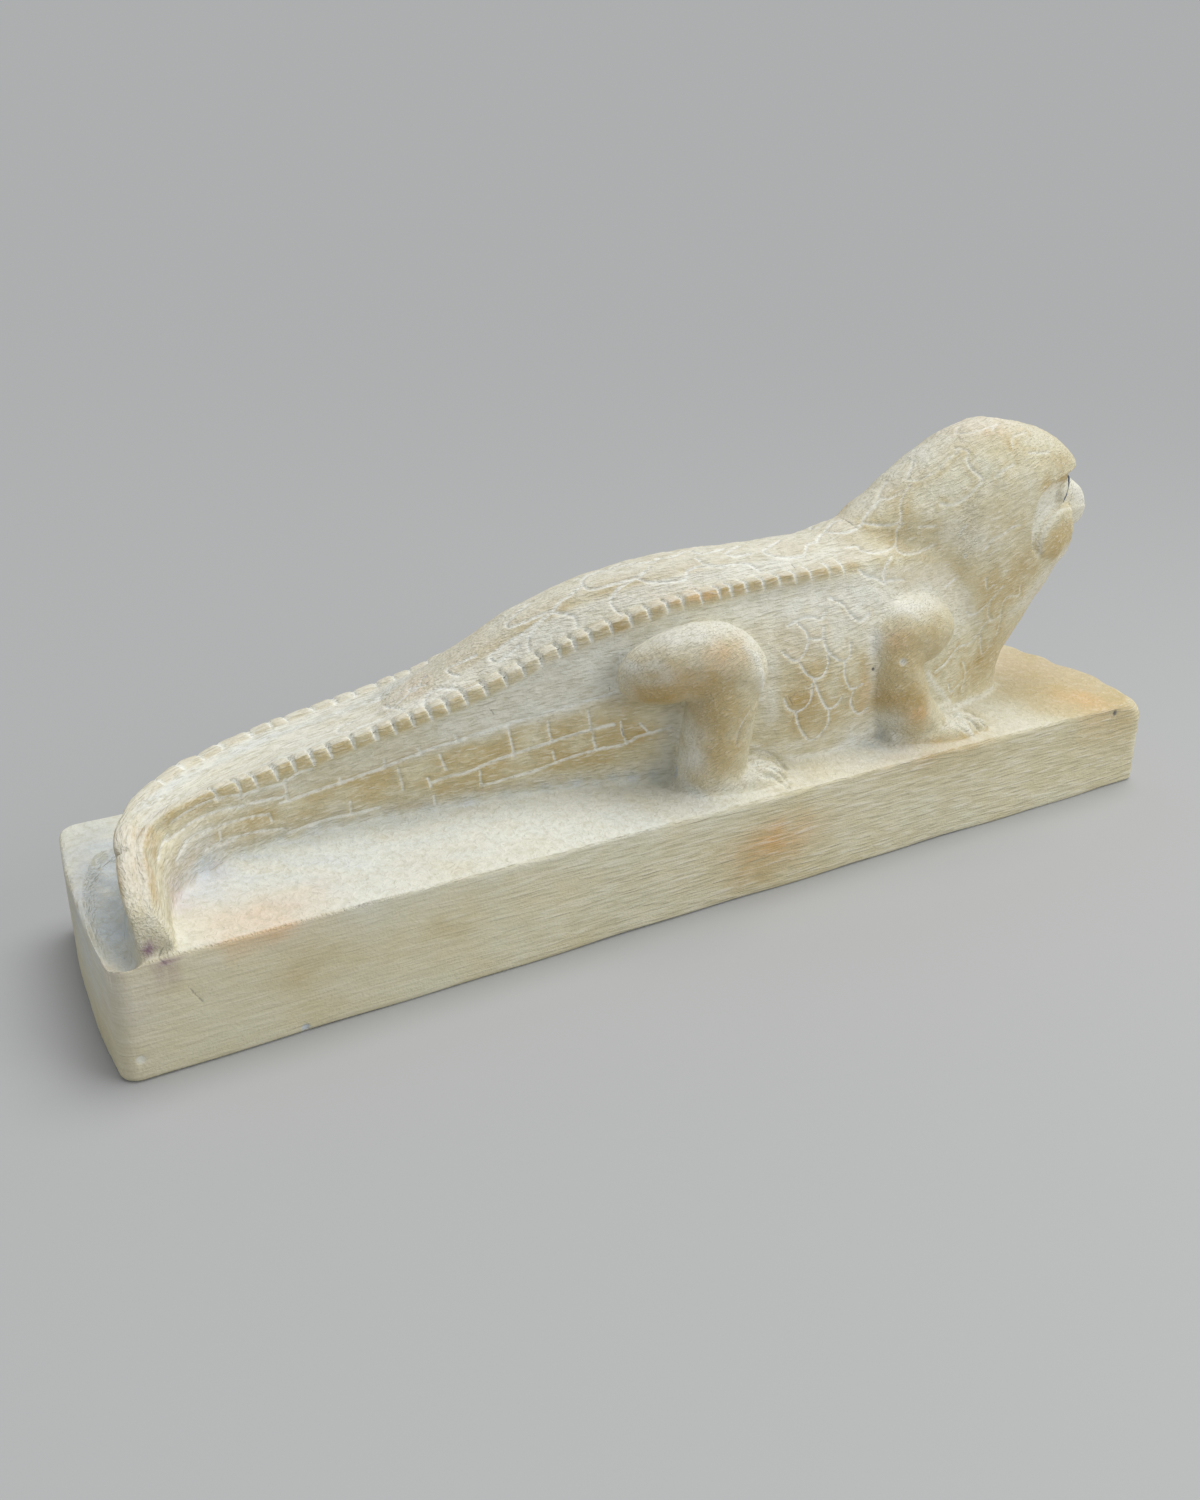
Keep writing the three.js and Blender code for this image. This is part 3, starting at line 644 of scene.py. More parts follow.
# The far side repeats the near side a little out of step, as a hand does
far_side = (at.side > 0).astype(float)
folded = np.stack([
    at.place + far_side * (1.5 + 0.9 * waver(points, 21, 30)), at.out,
    at.up + 0.7 * far_side * waver(points, 18, 31)], -1)


def lay(wash, amount):
    washes_and_painted_light[wash] = 1 - (1 - washes_and_painted_light[wash]) * (1 - np.clip(amount, 0, 1))


def cast_onto(pixels):
    hits = [casting.ray_cast(read_off(CAMERA_AT), ray_through(x, y)) for x, y in pixels]
    return np.array([spot for struck, spot, *_ in hits])


# Lines read off the photograph, smoothed, cast onto the near side and stepped evenly. A
# longer leap is a ray that slipped past one form onto the next, and is left open
LEAP = 7


def traced(lines, step=0.4):
    paths = []
    for line in lines:
        spots = cast_onto(fill_in(line, 5))
        found = survey(spots)
        spots = np.stack([found.place, found.out, found.up], -1)
        for start, end in zip(spots[:-1], spots[1:]):
            length = np.linalg.norm(end - start)
            if length < LEAP:
                paths.append(mix(start, end, np.linspace(0, 1, int(length / step) + 2)[:, None]))
    return np.concatenate(paths)


# Distance from each point to the nearest of a set of spots, where it is within reach
def gap_to(spots, where, reach=4.0):
    gap = np.full(len(where), 99.0)
    cell = np.floor(spots / reach).astype(int)
    for corner in np.unique(cell, axis=0):
        group = spots[(cell == corner).all(1)]
        low, high = corner * reach - reach, corner * reach + 2 * reach
        held = np.nonzero(((where > low) & (where < high)).all(1))[0]
        if len(held):
            apart = np.sqrt(((where[held, None] - group) ** 2).sum(-1)).min(1)
            gap[held] = np.minimum(gap[held], apart)
    return gap


# An incised line with a soft bead along its lips, chalky at the bottom and tan beside it
def incise(lines, cut, half_width, chalk_half, tanning):
    gap = gap_to(traced(lines), folded)
    chalk_edge[:] = np.minimum(chalk_edge, gap - chalk_half)
    halo = ease(gap, half_width, 1.8 * half_width) * ease(gap, 5 * half_width, 2 * half_width)
    lay("tan", tanning * halo * (0.6 + 0.4 * waver(points, 5, 33)))
    bead = np.exp(-((gap / half_width - 1.8) / 0.7) ** 2)
    return cut * (1 - ease(gap, 0, half_width)) - 0.2 * cut * bead


# The crests are sawn across into a row of teeth, tan on their faces, with white notches. A
# white channel runs inside each crest. They are strong on the tail and faint on the back.

NOTCHES = np.array([
    28.6, 36.1, 42.4, 48.9, 55.1, 61.4, 66.7, 73.9, 81.2, 87.2, 92.7, 97.9, 102.9, 108.2, 114.2, 120.4,
    126.2, 131.9, 137.7, 142.4, 147.4, 153.8, 159.9, 165.4, 170.9, 175.4, 181.3, 186.9, 190.7, 195.4,
    200.7, 206.4, 211.8, 217.2, 223.7, 229.2])
WIDE_NOTCH = 8
NOTCH_HALF = 0.6
NOTCH_DEPTH = 1.1
TEETH_FROM, TEETH_TO = 12, 236
CHANNEL = 3.6
notch_depth = curve((17, 0.5), (34, 0.8), (110, 1.1), (170, 0.75), (205, 0.5), (236, 0.25))
tooth_tan = curve((10, 0.6), (60, 0.75), (150, 0.75), (200, 0.8), (236, 0.6), (240, 0))

notch_half = NOTCH_HALF * rng.uniform(0.85, 1.15, len(NOTCHES))
notch_half[WIDE_NOTCH] *= 1.7
on_teeth = ease(at.out, at.half - 1.0 * at.crest, at.half - 0.8 * at.crest) * ease(at.drop, 4.6, 3.4)
on_teeth *= ease(at.drop, -2.5, -1.6) * ease(at.place, TEETH_FROM - 6, TEETH_FROM)
on_teeth *= (at.proud < 4) * ease(at.place, TEETH_TO + 2, TEETH_TO - 4)
leant = folded[:, :1] - 0.25 * np.clip(at.drop, 0, 5)[:, None]
gap = (np.abs(leant - NOTCHES) - notch_half).min(1)
narrowed = gap + 0.25 * ease(at.drop, 1, 4)
strength = notch_depth(at.place) * mix(1, 0.4, far_side)
shallower = mix(1, 0.6, ease(at.drop, 0.5, 3.5))
depth += NOTCH_DEPTH * strength * ease(narrowed, 0.25, -0.6) * on_teeth * shallower
depth += 0.25 * strength * on_teeth * ease(gap, 1.3, 0) * ease(at.drop, 4, 1)
depth += 0.4 * strength * band(at.drop, 4.4, 5.2, 6, 8.5) * (at.place < 200)
chalk_edge = np.minimum(chalk_edge, np.where(on_teeth > 0.3, narrowed + 0.4 * (1 - strength), 9))
tooth_face = on_teeth * ease(gap, 0.1, 0.5) * (0.8 + 0.2 * waver(points, 9, 12))
lay("tan", tooth_tan(at.place) * tooth_face * ease(at.drop, 4.6, 2.2))
lay("ochre", 0.3 * tooth_face * ease(at.place, 140, 170) * ease(at.drop, 3, 1))

channel_from = at.half - 0.9 * at.crest - CHANNEL * ease(at.place, 0, 60)
in_channel = ease(at.out, channel_from - 1, channel_from + 0.6) * ease(at.out, at.half - 0.6, at.half - 1.2)
in_channel *= ease(at.drop, 3, 1.5) * band(at.place, 15, 40, 215, 245)
lay("pale", 0.95 * in_channel * (1 - on_teeth))
on_crown = ease(at.drop, 0.5, -0.6) * band(at.place, 85, 110, 250, 275) * (1 - in_channel)
lay("tan", 0.42 * on_crown * (0.75 + 0.4 * waver(points * [0.4, 1, 1], 7, 14)))

# The sides of the tail are carved with rows of long scutes like laid bricks, tan between
# chalky joints. Above them the skin is combed, and below them it runs smooth to the plinth.

BRICK_COURSES = [
    [(280, 803), (300, 797), (320, 790), (352, 779), (385, 767), (420, 753), (460, 740), (500, 727),
     (520, 720), (548, 712), (590, 700), (616, 692)],
    [(432, 783), (445, 778), (470, 771), (500, 759), (545, 744), (590, 730), (614, 725)],
    [(481, 786), (500, 781), (540, 769), (575, 756), (600, 749), (622, 745), (640, 736), (672, 727)],
    [(288, 833), (320, 822), (352, 814), (380, 808)],
    [(238, 797), (262, 789), (284, 783), (300, 773), (312, 769)],
    [(250, 804), (266, 800), (286, 796)]]
BRICK_ENDS = [
    [(285, 779), (286, 790), (287, 799)], [(398, 769), (401, 780), (403, 790)],
    [(440, 755), (443, 763), (446, 770)], [(508, 728), (511, 740), (514, 756)],
    [(548, 722), (549, 732), (552, 741)], [(588, 711), (590, 722), (591, 731)],
    [(553, 752), (555, 760)], [(593, 734), (594, 742), (596, 749)], [(621, 722), (622, 731), (626, 742)],
    [(384, 760), (385, 768)], [(418, 749), (422, 754)], [(455, 735), (458, 741)], [(428, 778), (431, 787)],
    [(270, 814), (272, 821)], [(480, 771), (481, 786)], [(350, 802), (351, 812)], [(220, 831), (222, 841)],
    [(340, 779), (342, 784)], [(434, 796), (435, 804)], [(640, 724), (650, 733)]]
OCHRE_EDGES = [
    [(252, 804), (268, 797), (284, 791)], [(345, 780), (365, 774), (380, 768)],
    [(388, 765), (402, 758), (418, 751)], [(424, 750), (440, 745), (454, 740)],
    [(459, 738), (470, 733), (482, 729)], [(384, 811), (410, 807), (433, 803)],
    [(553, 763), (575, 755), (592, 749)], [(440, 792), (500, 788), (560, 780)]]
JOINT_CUT, JOINT_HALF = 0.45, 0.8

on_flank = ease(at.proud, 1.6, 0.6) * ease(at.up, 1.0, 2.2)
courses_cut = incise(BRICK_COURSES, JOINT_CUT, JOINT_HALF, chalk_half=0.42, tanning=0.3)
ends_cut = incise(BRICK_ENDS, JOINT_CUT, JOINT_HALF, chalk_half=0.32, tanning=0.15)
depth += courses_cut * on_flank
depth += ends_cut * on_flank
courses = band(at.share, 0.12, 0.17, 0.5, 0.62) * band(at.place, 24, 44, 158, 165)
lay("tan", on_flank * courses * (0.5 + 0.3 * waver(points * [0.3, 0.3, 1], 5, 15)))
ochre_gap = gap_to(traced(OCHRE_EDGES), folded)
lay("ochre", 0.5 * on_flank * np.exp(-(ochre_gap / 0.9) ** 2))
comb_band = on_flank * ease(at.drop, 3, 5) * ease(at.share, 0.5, 0.62) * ease(at.place, 20, 40)
lay("cool", 0.2 * comb_band * ease(at.place, 200, 150))
lay("pale", 0.45 * comb_band * ease(at.place, 60, 120))

# Towards its tip the inner side of the tail is ploughed with loose furrows. They were drawn
# by hand before the figure was moulded, so they are soft at their lips like the joints.

FURROWS = [
    [(168, 841), (180, 832), (192, 823), (206, 816), (226, 809), (244, 806)],
    [(184, 843), (198, 834), (214, 828), (232, 822), (252, 817), (268, 815)],
    [(206, 850), (222, 843), (238, 837), (256, 832), (284, 829)],
    [(172, 822), (186, 813), (204, 804), (226, 797), (240, 795)],
    [(160, 860), (163, 846), (170, 834)], [(176, 862), (181, 850), (190, 840)]]
depth += incise(FURROWS, cut=0.45, half_width=0.9, chalk_half=0.3, tanning=0.5)

# Fine lines are drawn with a knife along the tail's upper face. Chalk stays in them, and
# bands of tan, rose and blue-grey wash run between them.

BAND_LINES = (-0.62, -0.46, -0.2, -0.06, 0.14, 0.34, 0.55)
BAND_CUT = 0.32

across_back = at.side / at.half + 0.05 * waver(points, 28, 17)
on_tail_top = ease(at.drop, 2.5, 1.2) * band(at.place, 6, 16, 90, 112)
for line in BAND_LINES:
    gap = np.abs(across_back - line) * at.half
    part = on_tail_top * ease(waver(points * [0.2, 0.2, 1], 6, int(50 + 9 * line)), -0.9, -0.2)
    depth += BAND_CUT * (1 - ease(gap, 0, 0.8)) * part
    lay("pale", 0.7 * (1 - ease(gap, 0.3, 1.0)) * part)
lay("tan", 0.85 * np.exp(-((across_back + 0.33) / 0.11) ** 2) * on_tail_top)
lay("rose", 0.45 * np.exp(-((across_back + 0.02) / 0.1) ** 2) * on_tail_top)
lay("tan", 0.5 * np.exp(-((across_back - 0.24) / 0.09) ** 2) * on_tail_top)
lay("cool", 0.45 * np.exp(-((across_back - 0.5) / 0.16) ** 2) * on_tail_top)

# The outer crest ends in two blunt lumps where the tail curls round, with a cleft between.
# Inside them the curl's back is drawn with fine lines down to the tip.

LUMPS = ((2, 7, 4.6), (-12, 8, 5))
CLEFT_AT = -4.5
CURL_LINES = [
    [(150, 838), (148, 860), (147, 885), (150, 905), (155, 925)],
    [(160, 845), (158, 870), (157, 895), (160, 920)],
    [(168, 850), (166, 875), (164, 900), (166, 925)]]
on_curl = ease(at.place, 9, 5) * ease(at.up, 1.5, 3)
for place, half_long, half_wide in LUMPS:
    off = ((at.place - place) / half_long) ** 2 + ((at.side - 1.6) / half_wide) ** 2
    swell = np.exp(-off ** 2) * on_curl * ease(at.drop, 7, 3)
    depth -= 0.7 * swell
    lay("tan", 0.8 * swell * (0.9 + 0.3 * waver(points, 5, 18)))
    lay("apricot", 0.2 * swell)
cleft = np.exp(-((at.place - CLEFT_AT) / 0.9) ** 2) * on_curl * ease(at.side, 1.5, 3.5) * ease(at.drop, 8, 4)
depth += 1.1 * cleft
lay("ochre", 0.4 * cleft)
curl_gap = gap_to(traced(CURL_LINES), np.stack([at.place, np.abs(at.side), at.up], -1), 3)
depth += 0.1 * (1 - ease(curl_gap, 0, 0.9)) * on_curl
lay("pale", 0.3 * (1 - ease(curl_gap, 0.4, 1.2)) * on_curl)

# The back is laid with long rounded scales that point to the tail. Their outlines are read
# off the photograph on the near side.

BACK_SCALES = [
    [(533, 601), (520, 611), (506, 624), (511, 627), (527, 621), (550, 611)],
    [(551, 613), (539, 624), (531, 633), (528, 640), (529, 650)],
    [(551, 613), (562, 614), (575, 617), (577, 627)],
    [(551, 613), (561, 601), (569, 596), (581, 586)],
    [(545, 617), (525, 632), (504, 645), (490, 657), (497, 662), (508, 655), (520, 645)],
    [(476, 655), (461, 662), (447, 669), (451, 674), (458, 675)],
    [(480, 683), (462, 689), (438, 689), (427, 695), (424, 702), (427, 709)],
    [(426, 677), (411, 680), (405, 685), (409, 688), (426, 685)],
    [(412, 682), (396, 690), (383, 699), (386, 706), (403, 710)],
    [(385, 696), (350, 707), (327, 718), (332, 724), (352, 722)],
    [(656, 561), (629, 565), (602, 570), (588, 576), (582, 583), (590, 590), (612, 585), (637, 577)],
    [(650, 567), (640, 576)],
    [(638, 577), (622, 586), (613, 595), (611, 603), (616, 610), (622, 615)],
    [(636, 578), (648, 582), (668, 582), (686, 579), (687, 571), (700, 567), (724, 567)],
    [(656, 559), (672, 557), (688, 551), (699, 554), (712, 552), (724, 549)],
    [(696, 558), (703, 564)],
    [(706, 565), (722, 566), (740, 563), (751, 565), (760, 571)],
    [(740, 546), (731, 550), (726, 553), (734, 556), (750, 554)],
    [(780, 540), (770, 546), (763, 551), (770, 555), (786, 558), (802, 556), (806, 550), (807, 545),
     (817, 542)],
    [(817, 542), (819, 537), (826, 529), (837, 519)],
    [(826, 531), (838, 533), (852, 531), (861, 525)]]
depth += incise(BACK_SCALES, cut=0.36, half_width=0.7, chalk_half=0.42, tanning=0.5)

# Round overlapping scales cover the flank between the legs. They are cut with a fine point
# and chalky in the line, like those of the back.

FLANK_SCALES = [
    [(797, 622), (806, 632), (808, 643), (804, 655), (795, 661), (782, 652)],
    [(800, 663), (806, 673), (815, 679), (824, 675), (829, 663), (828, 656)],
    [(824, 627), (824, 641), (829, 652), (841, 661), (850, 657), (851, 643)],
    [(809, 639), (824, 639)],
    [(784, 699), (788, 708), (796, 712), (805, 708), (811, 699), (812, 684)],
    [(814, 680), (819, 694), (828, 709), (837, 705), (842, 698)],
    [(796, 713), (800, 728), (809, 740), (819, 736), (828, 723), (829, 710)],
    [(845, 663), (845, 675), (848, 685), (853, 689), (863, 684)],
    [(853, 692), (851, 704), (858, 714), (868, 708)],
    [(788, 626), (800, 619), (813, 617), (822, 619), (826, 611)],
    [(830, 598), (843, 604), (850, 614), (860, 621), (869, 614)]]
depth += incise(FLANK_SCALES, cut=0.4, half_width=0.7, chalk_half=0.3, tanning=0.5)

# Broad scales climb the neck and the hood, with small pointed ones down the chest.

NECK_SCALES = [
    [(861, 525), (866, 515), (874, 506), (881, 499), (888, 499), (895, 496), (904, 491)],
    [(878, 497), (881, 489), (887, 480)],
    [(863, 523), (876, 525), (891, 525), (900, 521), (901, 512), (900, 505), (905, 493), (909, 486)],
    [(907, 480), (910, 471), (914, 460)],
    [(905, 479), (915, 480), (927, 476), (938, 469), (947, 460), (958, 451)],
    [(955, 448), (968, 451), (967, 460), (972, 469), (983, 479), (977, 487), (968, 496), (953, 505),
     (941, 504)],
    [(955, 433), (970, 433), (986, 428), (1000, 423)],
    [(955, 433), (960, 425)],
    [(992, 431), (994, 426)],
    [(1013, 447), (1013, 437), (1026, 432)],
    [(1028, 453), (1040, 453), (1049, 452)],
    [(996, 477), (1005, 470), (1015, 464)],
    [(903, 523), (897, 530), (896, 544), (890, 549), (876, 553), (862, 551), (856, 546), (846, 548)],
    [(896, 544), (899, 551), (910, 554), (924, 550), (935, 545)],
    [(892, 556), (886, 566), (884, 575), (886, 584)],
    [(886, 581), (894, 580), (904, 580)],
    [(859, 570), (867, 576), (876, 578), (885, 584)],
    [(919, 527), (936, 526)],
    [(958, 537), (967, 525)],
    [(985, 550), (993, 539), (1003, 535), (1011, 528), (1021, 525)],
    [(946, 587), (956, 579)]]
CHEST_SCALES = [
    [(967, 612), (971, 615), (979, 612), (988, 604), (996, 595), (1003, 586)],
    [(936, 672), (947, 662), (956, 650), (960, 646), (969, 644), (978, 635), (987, 622), (994, 620),
     (1001, 614), (1003, 605), (1008, 597), (1019, 595), (1021, 586)],
    [(981, 636), (981, 649), (983, 654), (989, 647), (993, 644)],
    [(1001, 614), (1000, 623), (997, 634)],
    [(991, 602), (988, 613), (991, 620)],
    [(986, 578), (987, 589), (994, 585)],
    [(963, 662), (966, 672), (962, 690)],
    [(948, 684), (951, 692), (960, 684)]]
depth += incise(NECK_SCALES, cut=0.3, half_width=0.7, chalk_half=0.3, tanning=0.4)
depth += incise(CHEST_SCALES, cut=0.4, half_width=0.65, chalk_half=0.25, tanning=0.6)

# A flat sinew follows the front of the shank from the knee to the foot. The toes are parted
# by cut lines.

SINEW_GROOVE = [[(757, 700), (750, 712), (743, 724), (739, 735), (737, 745)]]
SINEW_EDGE = [[(745, 648), (755, 656), (761, 668), (762, 684), (761, 700)]]
TOE_LINES = [
    [(748, 752), (760, 751), (770, 754), (779, 761), (786, 768)],
    [(752, 766), (762, 764), (772, 768), (781, 774), (788, 781)],
    [(764, 777), (772, 777), (781, 782), (788, 788)],
    [(955, 708), (966, 710), (976, 716), (985, 726)],
    [(955, 716), (966, 718), (974, 724), (979, 731)],
    [(948, 722), (957, 725), (966, 732)]]
FORELEG_EDGE = [(924, 669), (938, 689), (950, 704), (962, 721), (971, 734)]
BELLY_EDGE = [(752, 745), (774, 755), (802, 757), (830, 751), (853, 740), (874, 728)]
CHEST_EDGE = [(950, 707), (966, 702), (982, 696), (992, 688)]
depth += incise(SINEW_GROOVE, cut=0.6, half_width=0.8, chalk_half=0.05, tanning=0.3)
# A slight lip runs along the sinew's edge and the front edges of the foreleg, belly and chest, painted pale
# along it, partly chalk and partly a painted highlight
edge_gap = gap_to(traced(SINEW_EDGE + [FORELEG_EDGE, BELLY_EDGE, CHEST_EDGE]), folded)
depth -= 0.3 * np.exp(-(edge_gap / 1.2) ** 2)
lay("pale", 0.8 * np.exp(-(edge_gap / 1.1) ** 2))
depth += incise(TOE_LINES, cut=0.7, half_width=1.0, chalk_half=0.12, tanning=0.45)

# Chips, pits and short cracks where the casting was knocked, on the near side only. They
# show white plaster under the wash, or the dirt that settled in them.

CHIPS = [(903, 662, 1.5, 0.6, "pale"), (675, 772, 2.4, 0.5, "cool"), (141, 1060, 1.4, 0.5, "pale"),
         (306, 1028, 1.4, 0.6, "cool"), (873, 669, 0.7, 0.5, "dark"), (1115, 713, 1.4, 0.3, "dark"),
         (965, 556, 1.0, 0.3, "pale"), (128, 967, 2.4, 0.4, "pale")]
CRACKS = [
    [(789, 699), (796, 694)], [(788, 695), (793, 706)], [(792, 722), (797, 712), (803, 708)],
    [(842, 518), (849, 522), (856, 527)], [(146, 948), (156, 956), (167, 965)],
    [(188, 985), (195, 994), (203, 1001)], [(622, 729), (624, 736)], [(489, 708), (494, 714)],
    [(609, 687), (610, 691)], [(792, 565), (796, 570)], [(237, 752), (244, 747), (251, 746)]]
for x, y, radius, cut, wash in CHIPS:
    gap = np.linalg.norm(points - cast_onto([(x, y)])[0], axis=1)
    depth += cut * (1 - ease(gap, 0.3 * radius, radius))
    lay(wash, 1.2 * (1 - ease(gap, 0.4 * radius, 1.1 * radius)))
near_only = np.where(at.side[:, None] > 0, 999.0, folded)
crack_gap = gap_to(traced(CRACKS), near_only)
depth += 0.15 * (1 - ease(crack_gap, 0, 0.5))

# Patches of wash: brown under the limbs, jaw and brow, partly patina and partly painted shade,
# and orange where iron stained the plinth. Some pale patches are painted light over shade, and
# the cool and dark patches by the foot of the flank and in the hollow past the tail are
# painted shade. Each is a place in the photograph with its reach along and up, in
# millimetres.

MIRRORED_PATCHES = {
    # Among these, the brown under the limbs, the jaw and the brow is partly patina and partly painted shade
    "ochre": [
        (655, 694, 9, 5, 0.75), (678, 688, 8, 5, 0.85), (697, 684, 7, 6, 0.45),
        (706, 735, 6, 10, 0.3), (896, 700, 8, 4, 0.5), (915, 705, 5, 5, 0.45),
        (1056, 545, 4, 5, 0.35), (974, 668, 4, 6, 0.4), (797, 700, 3, 4, 0.3),
        (808, 710, 4, 6, 0.3), (622, 629, 3, 1.5, 0.5), (640, 735, 5, 3, 0.4)],
    "tan": [
        (640, 688, 9, 7, 0.8), (668, 678, 12, 7, 0.7), (715, 700, 9, 10, 0.7),
        (712, 740, 8, 12, 0.75), (705, 772, 9, 6, 0.6), (735, 660, 7, 8, 0.3),
        (900, 679, 8, 9, 0.75), (905, 715, 9, 9, 0.7), (930, 640, 11, 10, 0.5),
        (905, 650, 10, 9, 0.5), (865, 665, 3, 8, 0.5), (1060, 541, 6, 8, 0.75),
        (1048, 486, 5, 3, 0.7), (1062, 462, 8, 4, 0.5), (955, 440, 9, 5, 0.3),
        (935, 572, 14, 6, 0.5), (905, 575, 8, 5, 0.4), (1000, 580, 12, 10, 0.5),
        (1030, 562, 9, 8, 0.55), (985, 660, 8, 8, 0.5), (796, 642, 7, 7, 0.5),
        (815, 665, 6, 5, 0.5), (797, 695, 6, 8, 0.6), (812, 715, 6, 9, 0.55),
        (850, 700, 9, 9, 0.45), (512, 645, 12, 2.5, 0.75), (630, 583, 7, 3, 0.5),
        (470, 668, 9, 3, 0.5), (700, 570, 9, 3, 0.4), (790, 550, 9, 3, 0.4), (625, 628, 5, 2, 0.5)],
    "apricot": [
        (727, 652, 6, 4, 0.35), (897, 640, 4, 4, 0.3), (920, 713, 4, 3, 0.3), (864, 693, 2, 6, 0.6),
        (1078, 521, 4, 3, 0.4), (985, 423, 16, 4, 0.25), (415, 682, 8, 3, 0.35),
        (690, 597, 12, 1.6, 0.4)],
    # Some of these pale patches are painted light, laid over the shade behind the thigh, at the foot of the
    # shank and forearm, and under the body's flank
    "pale": [
        (690, 632, 14, 4, 0.7), (757, 645, 5, 8, 0.6), (910, 600, 10, 3, 0.7),
        (874, 650, 2, 12, 0.7), (560, 700, 12, 5, 0.35), (680, 755, 4, 14, 0.7),
        (880, 728, 4, 9, 0.6), (830, 600, 24, 7, 0.85), (770, 690, 3, 14, 0.5),
        (889, 725, 4, 4, 0.7), (680, 735, 4, 10, 0.7), (800, 745, 14, 3, 0.6),
        (860, 728, 10, 6, 0.6), (600, 660, 26, 6, 0.7), (612, 690, 5, 8, 0.6),
        (920, 605, 12, 4, 0.5), (520, 715, 20, 3, 0.3), (655, 765, 10, 3, 0.6),
        (930, 590, 9, 3, 0.5), (975, 535, 14, 7, 0.3)]}
SINGLE_PATCHES = {
    "ochre": [
        (768, 843, 9, 4, 0.45), (750, 876, 9, 4, 0.3), (740, 888, 5, 2, 0.3),
        (300, 970, 12, 3, 0.2), (452, 927, 5, 3, 0.45), (925, 752, 26, 2.5, 0.4)],
    "apricot": [
        (780, 838, 16, 6, 0.45), (240, 925, 8, 4, 0.6), (277, 916, 9, 4, 0.6),
        (1083, 700, 9, 5, 0.4), (318, 890, 6, 3, 0.3)],
    "tan": [
        (770, 855, 22, 14, 0.4), (310, 975, 26, 10, 0.15), (1108, 694, 6, 7, 0.2),
        (1060, 690, 24, 14, 0.5), (1100, 700, 14, 12, 0.3), (1030, 655, 12, 10, 0.4),
        (980, 760, 40, 10, 0.25), (1110, 745, 14, 16, 0.2), (95, 1010, 8, 20, 0.2)],
    "rose": [
        (1040, 670, 16, 10, 0.7), (1020, 668, 10, 8, 0.5), (205, 880, 8, 9, 0.5),
        (180, 900, 6, 8, 0.4), (120, 1000, 6, 14, 0.2)],
    # Painted shade in the hollow past the tail's tip
    "dark": [
        (98, 890, 6, 16, 0.2)],
    # Painted shade with a bluish tint, along the foot of the flank and in the hollow past the tail's tip
    "cool": [
        (200, 870, 10, 12, 0.5), (300, 848, 30, 7, 0.45), (430, 812, 30, 4, 0.35),
        (600, 780, 40, 3, 0.45), (870, 742, 16, 4, 0.35), (98, 890, 7, 20, 0.7),
        (110, 930, 8, 16, 0.75), (110, 870, 6, 16, 0.7)],
    "plum": [
        (148, 950, 1.2, 1.5, 0.7), (165, 963, 1.5, 1, 0.5), (179, 898, 2, 5, 0.3),
        (210, 876, 5, 2, 0.3)]}


def patch(wash, seed, reach_along, reach_up, amount, where, spot):
    off = (where - spot) / [reach_along, 1.2 * max(reach_along, reach_up), reach_up]
    lay(wash, 1.15 * amount * np.exp(-(off ** 2).sum(1)) * (1 + 0.3 * waver(points, 7, seed)))


for wash, patches in MIRRORED_PATCHES.items():
    for x, y, *reach in patches:
        found = survey(cast_onto([(x, y)]))
        spot = np.array([found.place[0], found.out[0], found.up[0]])
        patch(wash, x, *reach, folded, spot)
for wash, patches in SINGLE_PATCHES.items():
    for x, y, *reach in patches:
        patch(wash, x, *reach, points, cast_onto([(x, y)])[0])

# The coves stay pale with settled dust; at the tail's foot they are washed bluish, partly dust
# and partly painted shade. Upturned faces are painted paler, partly dust and partly painted
# light, and downturned ones tan, partly patina and partly painted shade. The plinth's sides,
# the limbs and the head take their own brush marks.

on_figure = ease(at.up, 0.4, 2.5)
lay("pale", 0.8 * ease(cove, 0.25, 1.3) * ease(at.up, -0.5, 0.3))
# Painted shade, partly bluish dust: the coves at the tail's foot are washed cool
at_tail_foot = band(at.up, -0.5, 0.2, 2, 6) * ease(at.place, 180, 100)
lay("cool", 0.35 * ease(cove, 0.3, 1.2) * at_tail_foot)
# Painted light, partly settled dust: the plinth's upward-facing top is painted paler; at the head end it
# takes a tan stain instead
block_top = ease(at.up, -0.6, -0.1) * ease(normals[:, 2], 0.6, 0.95)
lay("pale", 0.55 * block_top * (1 - 0.9 * ease(points[:, 0], 296, 325)))
lay("tan", 0.35 * block_top * ease(points[:, 0], 300, 330))
# Painted light, partly settled dust: the figure's upward-facing faces are painted paler, less on the shoulder
# and towards the head
upturned = ease(normals[:, 2], 0.55, 0.95) * on_figure
on_shoulder = band(at.place, 238, 244, 272, 280) * ease(at.proud, 3, 5)
lay("pale", 0.45 * upturned * (1 - 0.6 * ease(at.place, 262, 290)) * (1 - 0.7 * on_shoulder))
# Painted shade, partly patina: the figure's downward-facing faces are painted tan
lay("tan", 0.3 * ease(normals[:, 2], 0.35, -0.3) * on_figure)
on_limb = ease(at.proud, 0.6, 2.5) * ease(at.place, 145, 150) * ease(at.up, 0.5, 2) * ease(at.place, 292, 284)
on_head = ease(at.place, 236, 262) * ease(at.up, 46, 60) + ease(at.place, 284, 296) * ease(at.up, 1, 4)
on_block = ease(at.up, -0.4, -1.5) * ease(np.abs(normals[:, 2]), 0.75, 0.5)
on_top = ease(at.up, 1.6, 0.4) * ease(normals[:, 2], 0.75, 0.95)
regions = {
    "on_limb": on_limb, "on_head": np.clip(on_head, 0, 1), "on_block": on_block, "on_top": on_top,
    "rasped": 0.35 + 0.65 * ease(points[:, 0], 60, 170)}

unevenness = 0.1 * waver(points, 16, 40) + 0.05 * waver(points, 6, 41)
hammered = 0.04 * waver(points, 2.6, 42) * ease(at.place, 150, 190)
depth += on_figure * (unevenness + hammered) + (1 - on_figure) * (0.16 * waver(points, 42, 43))
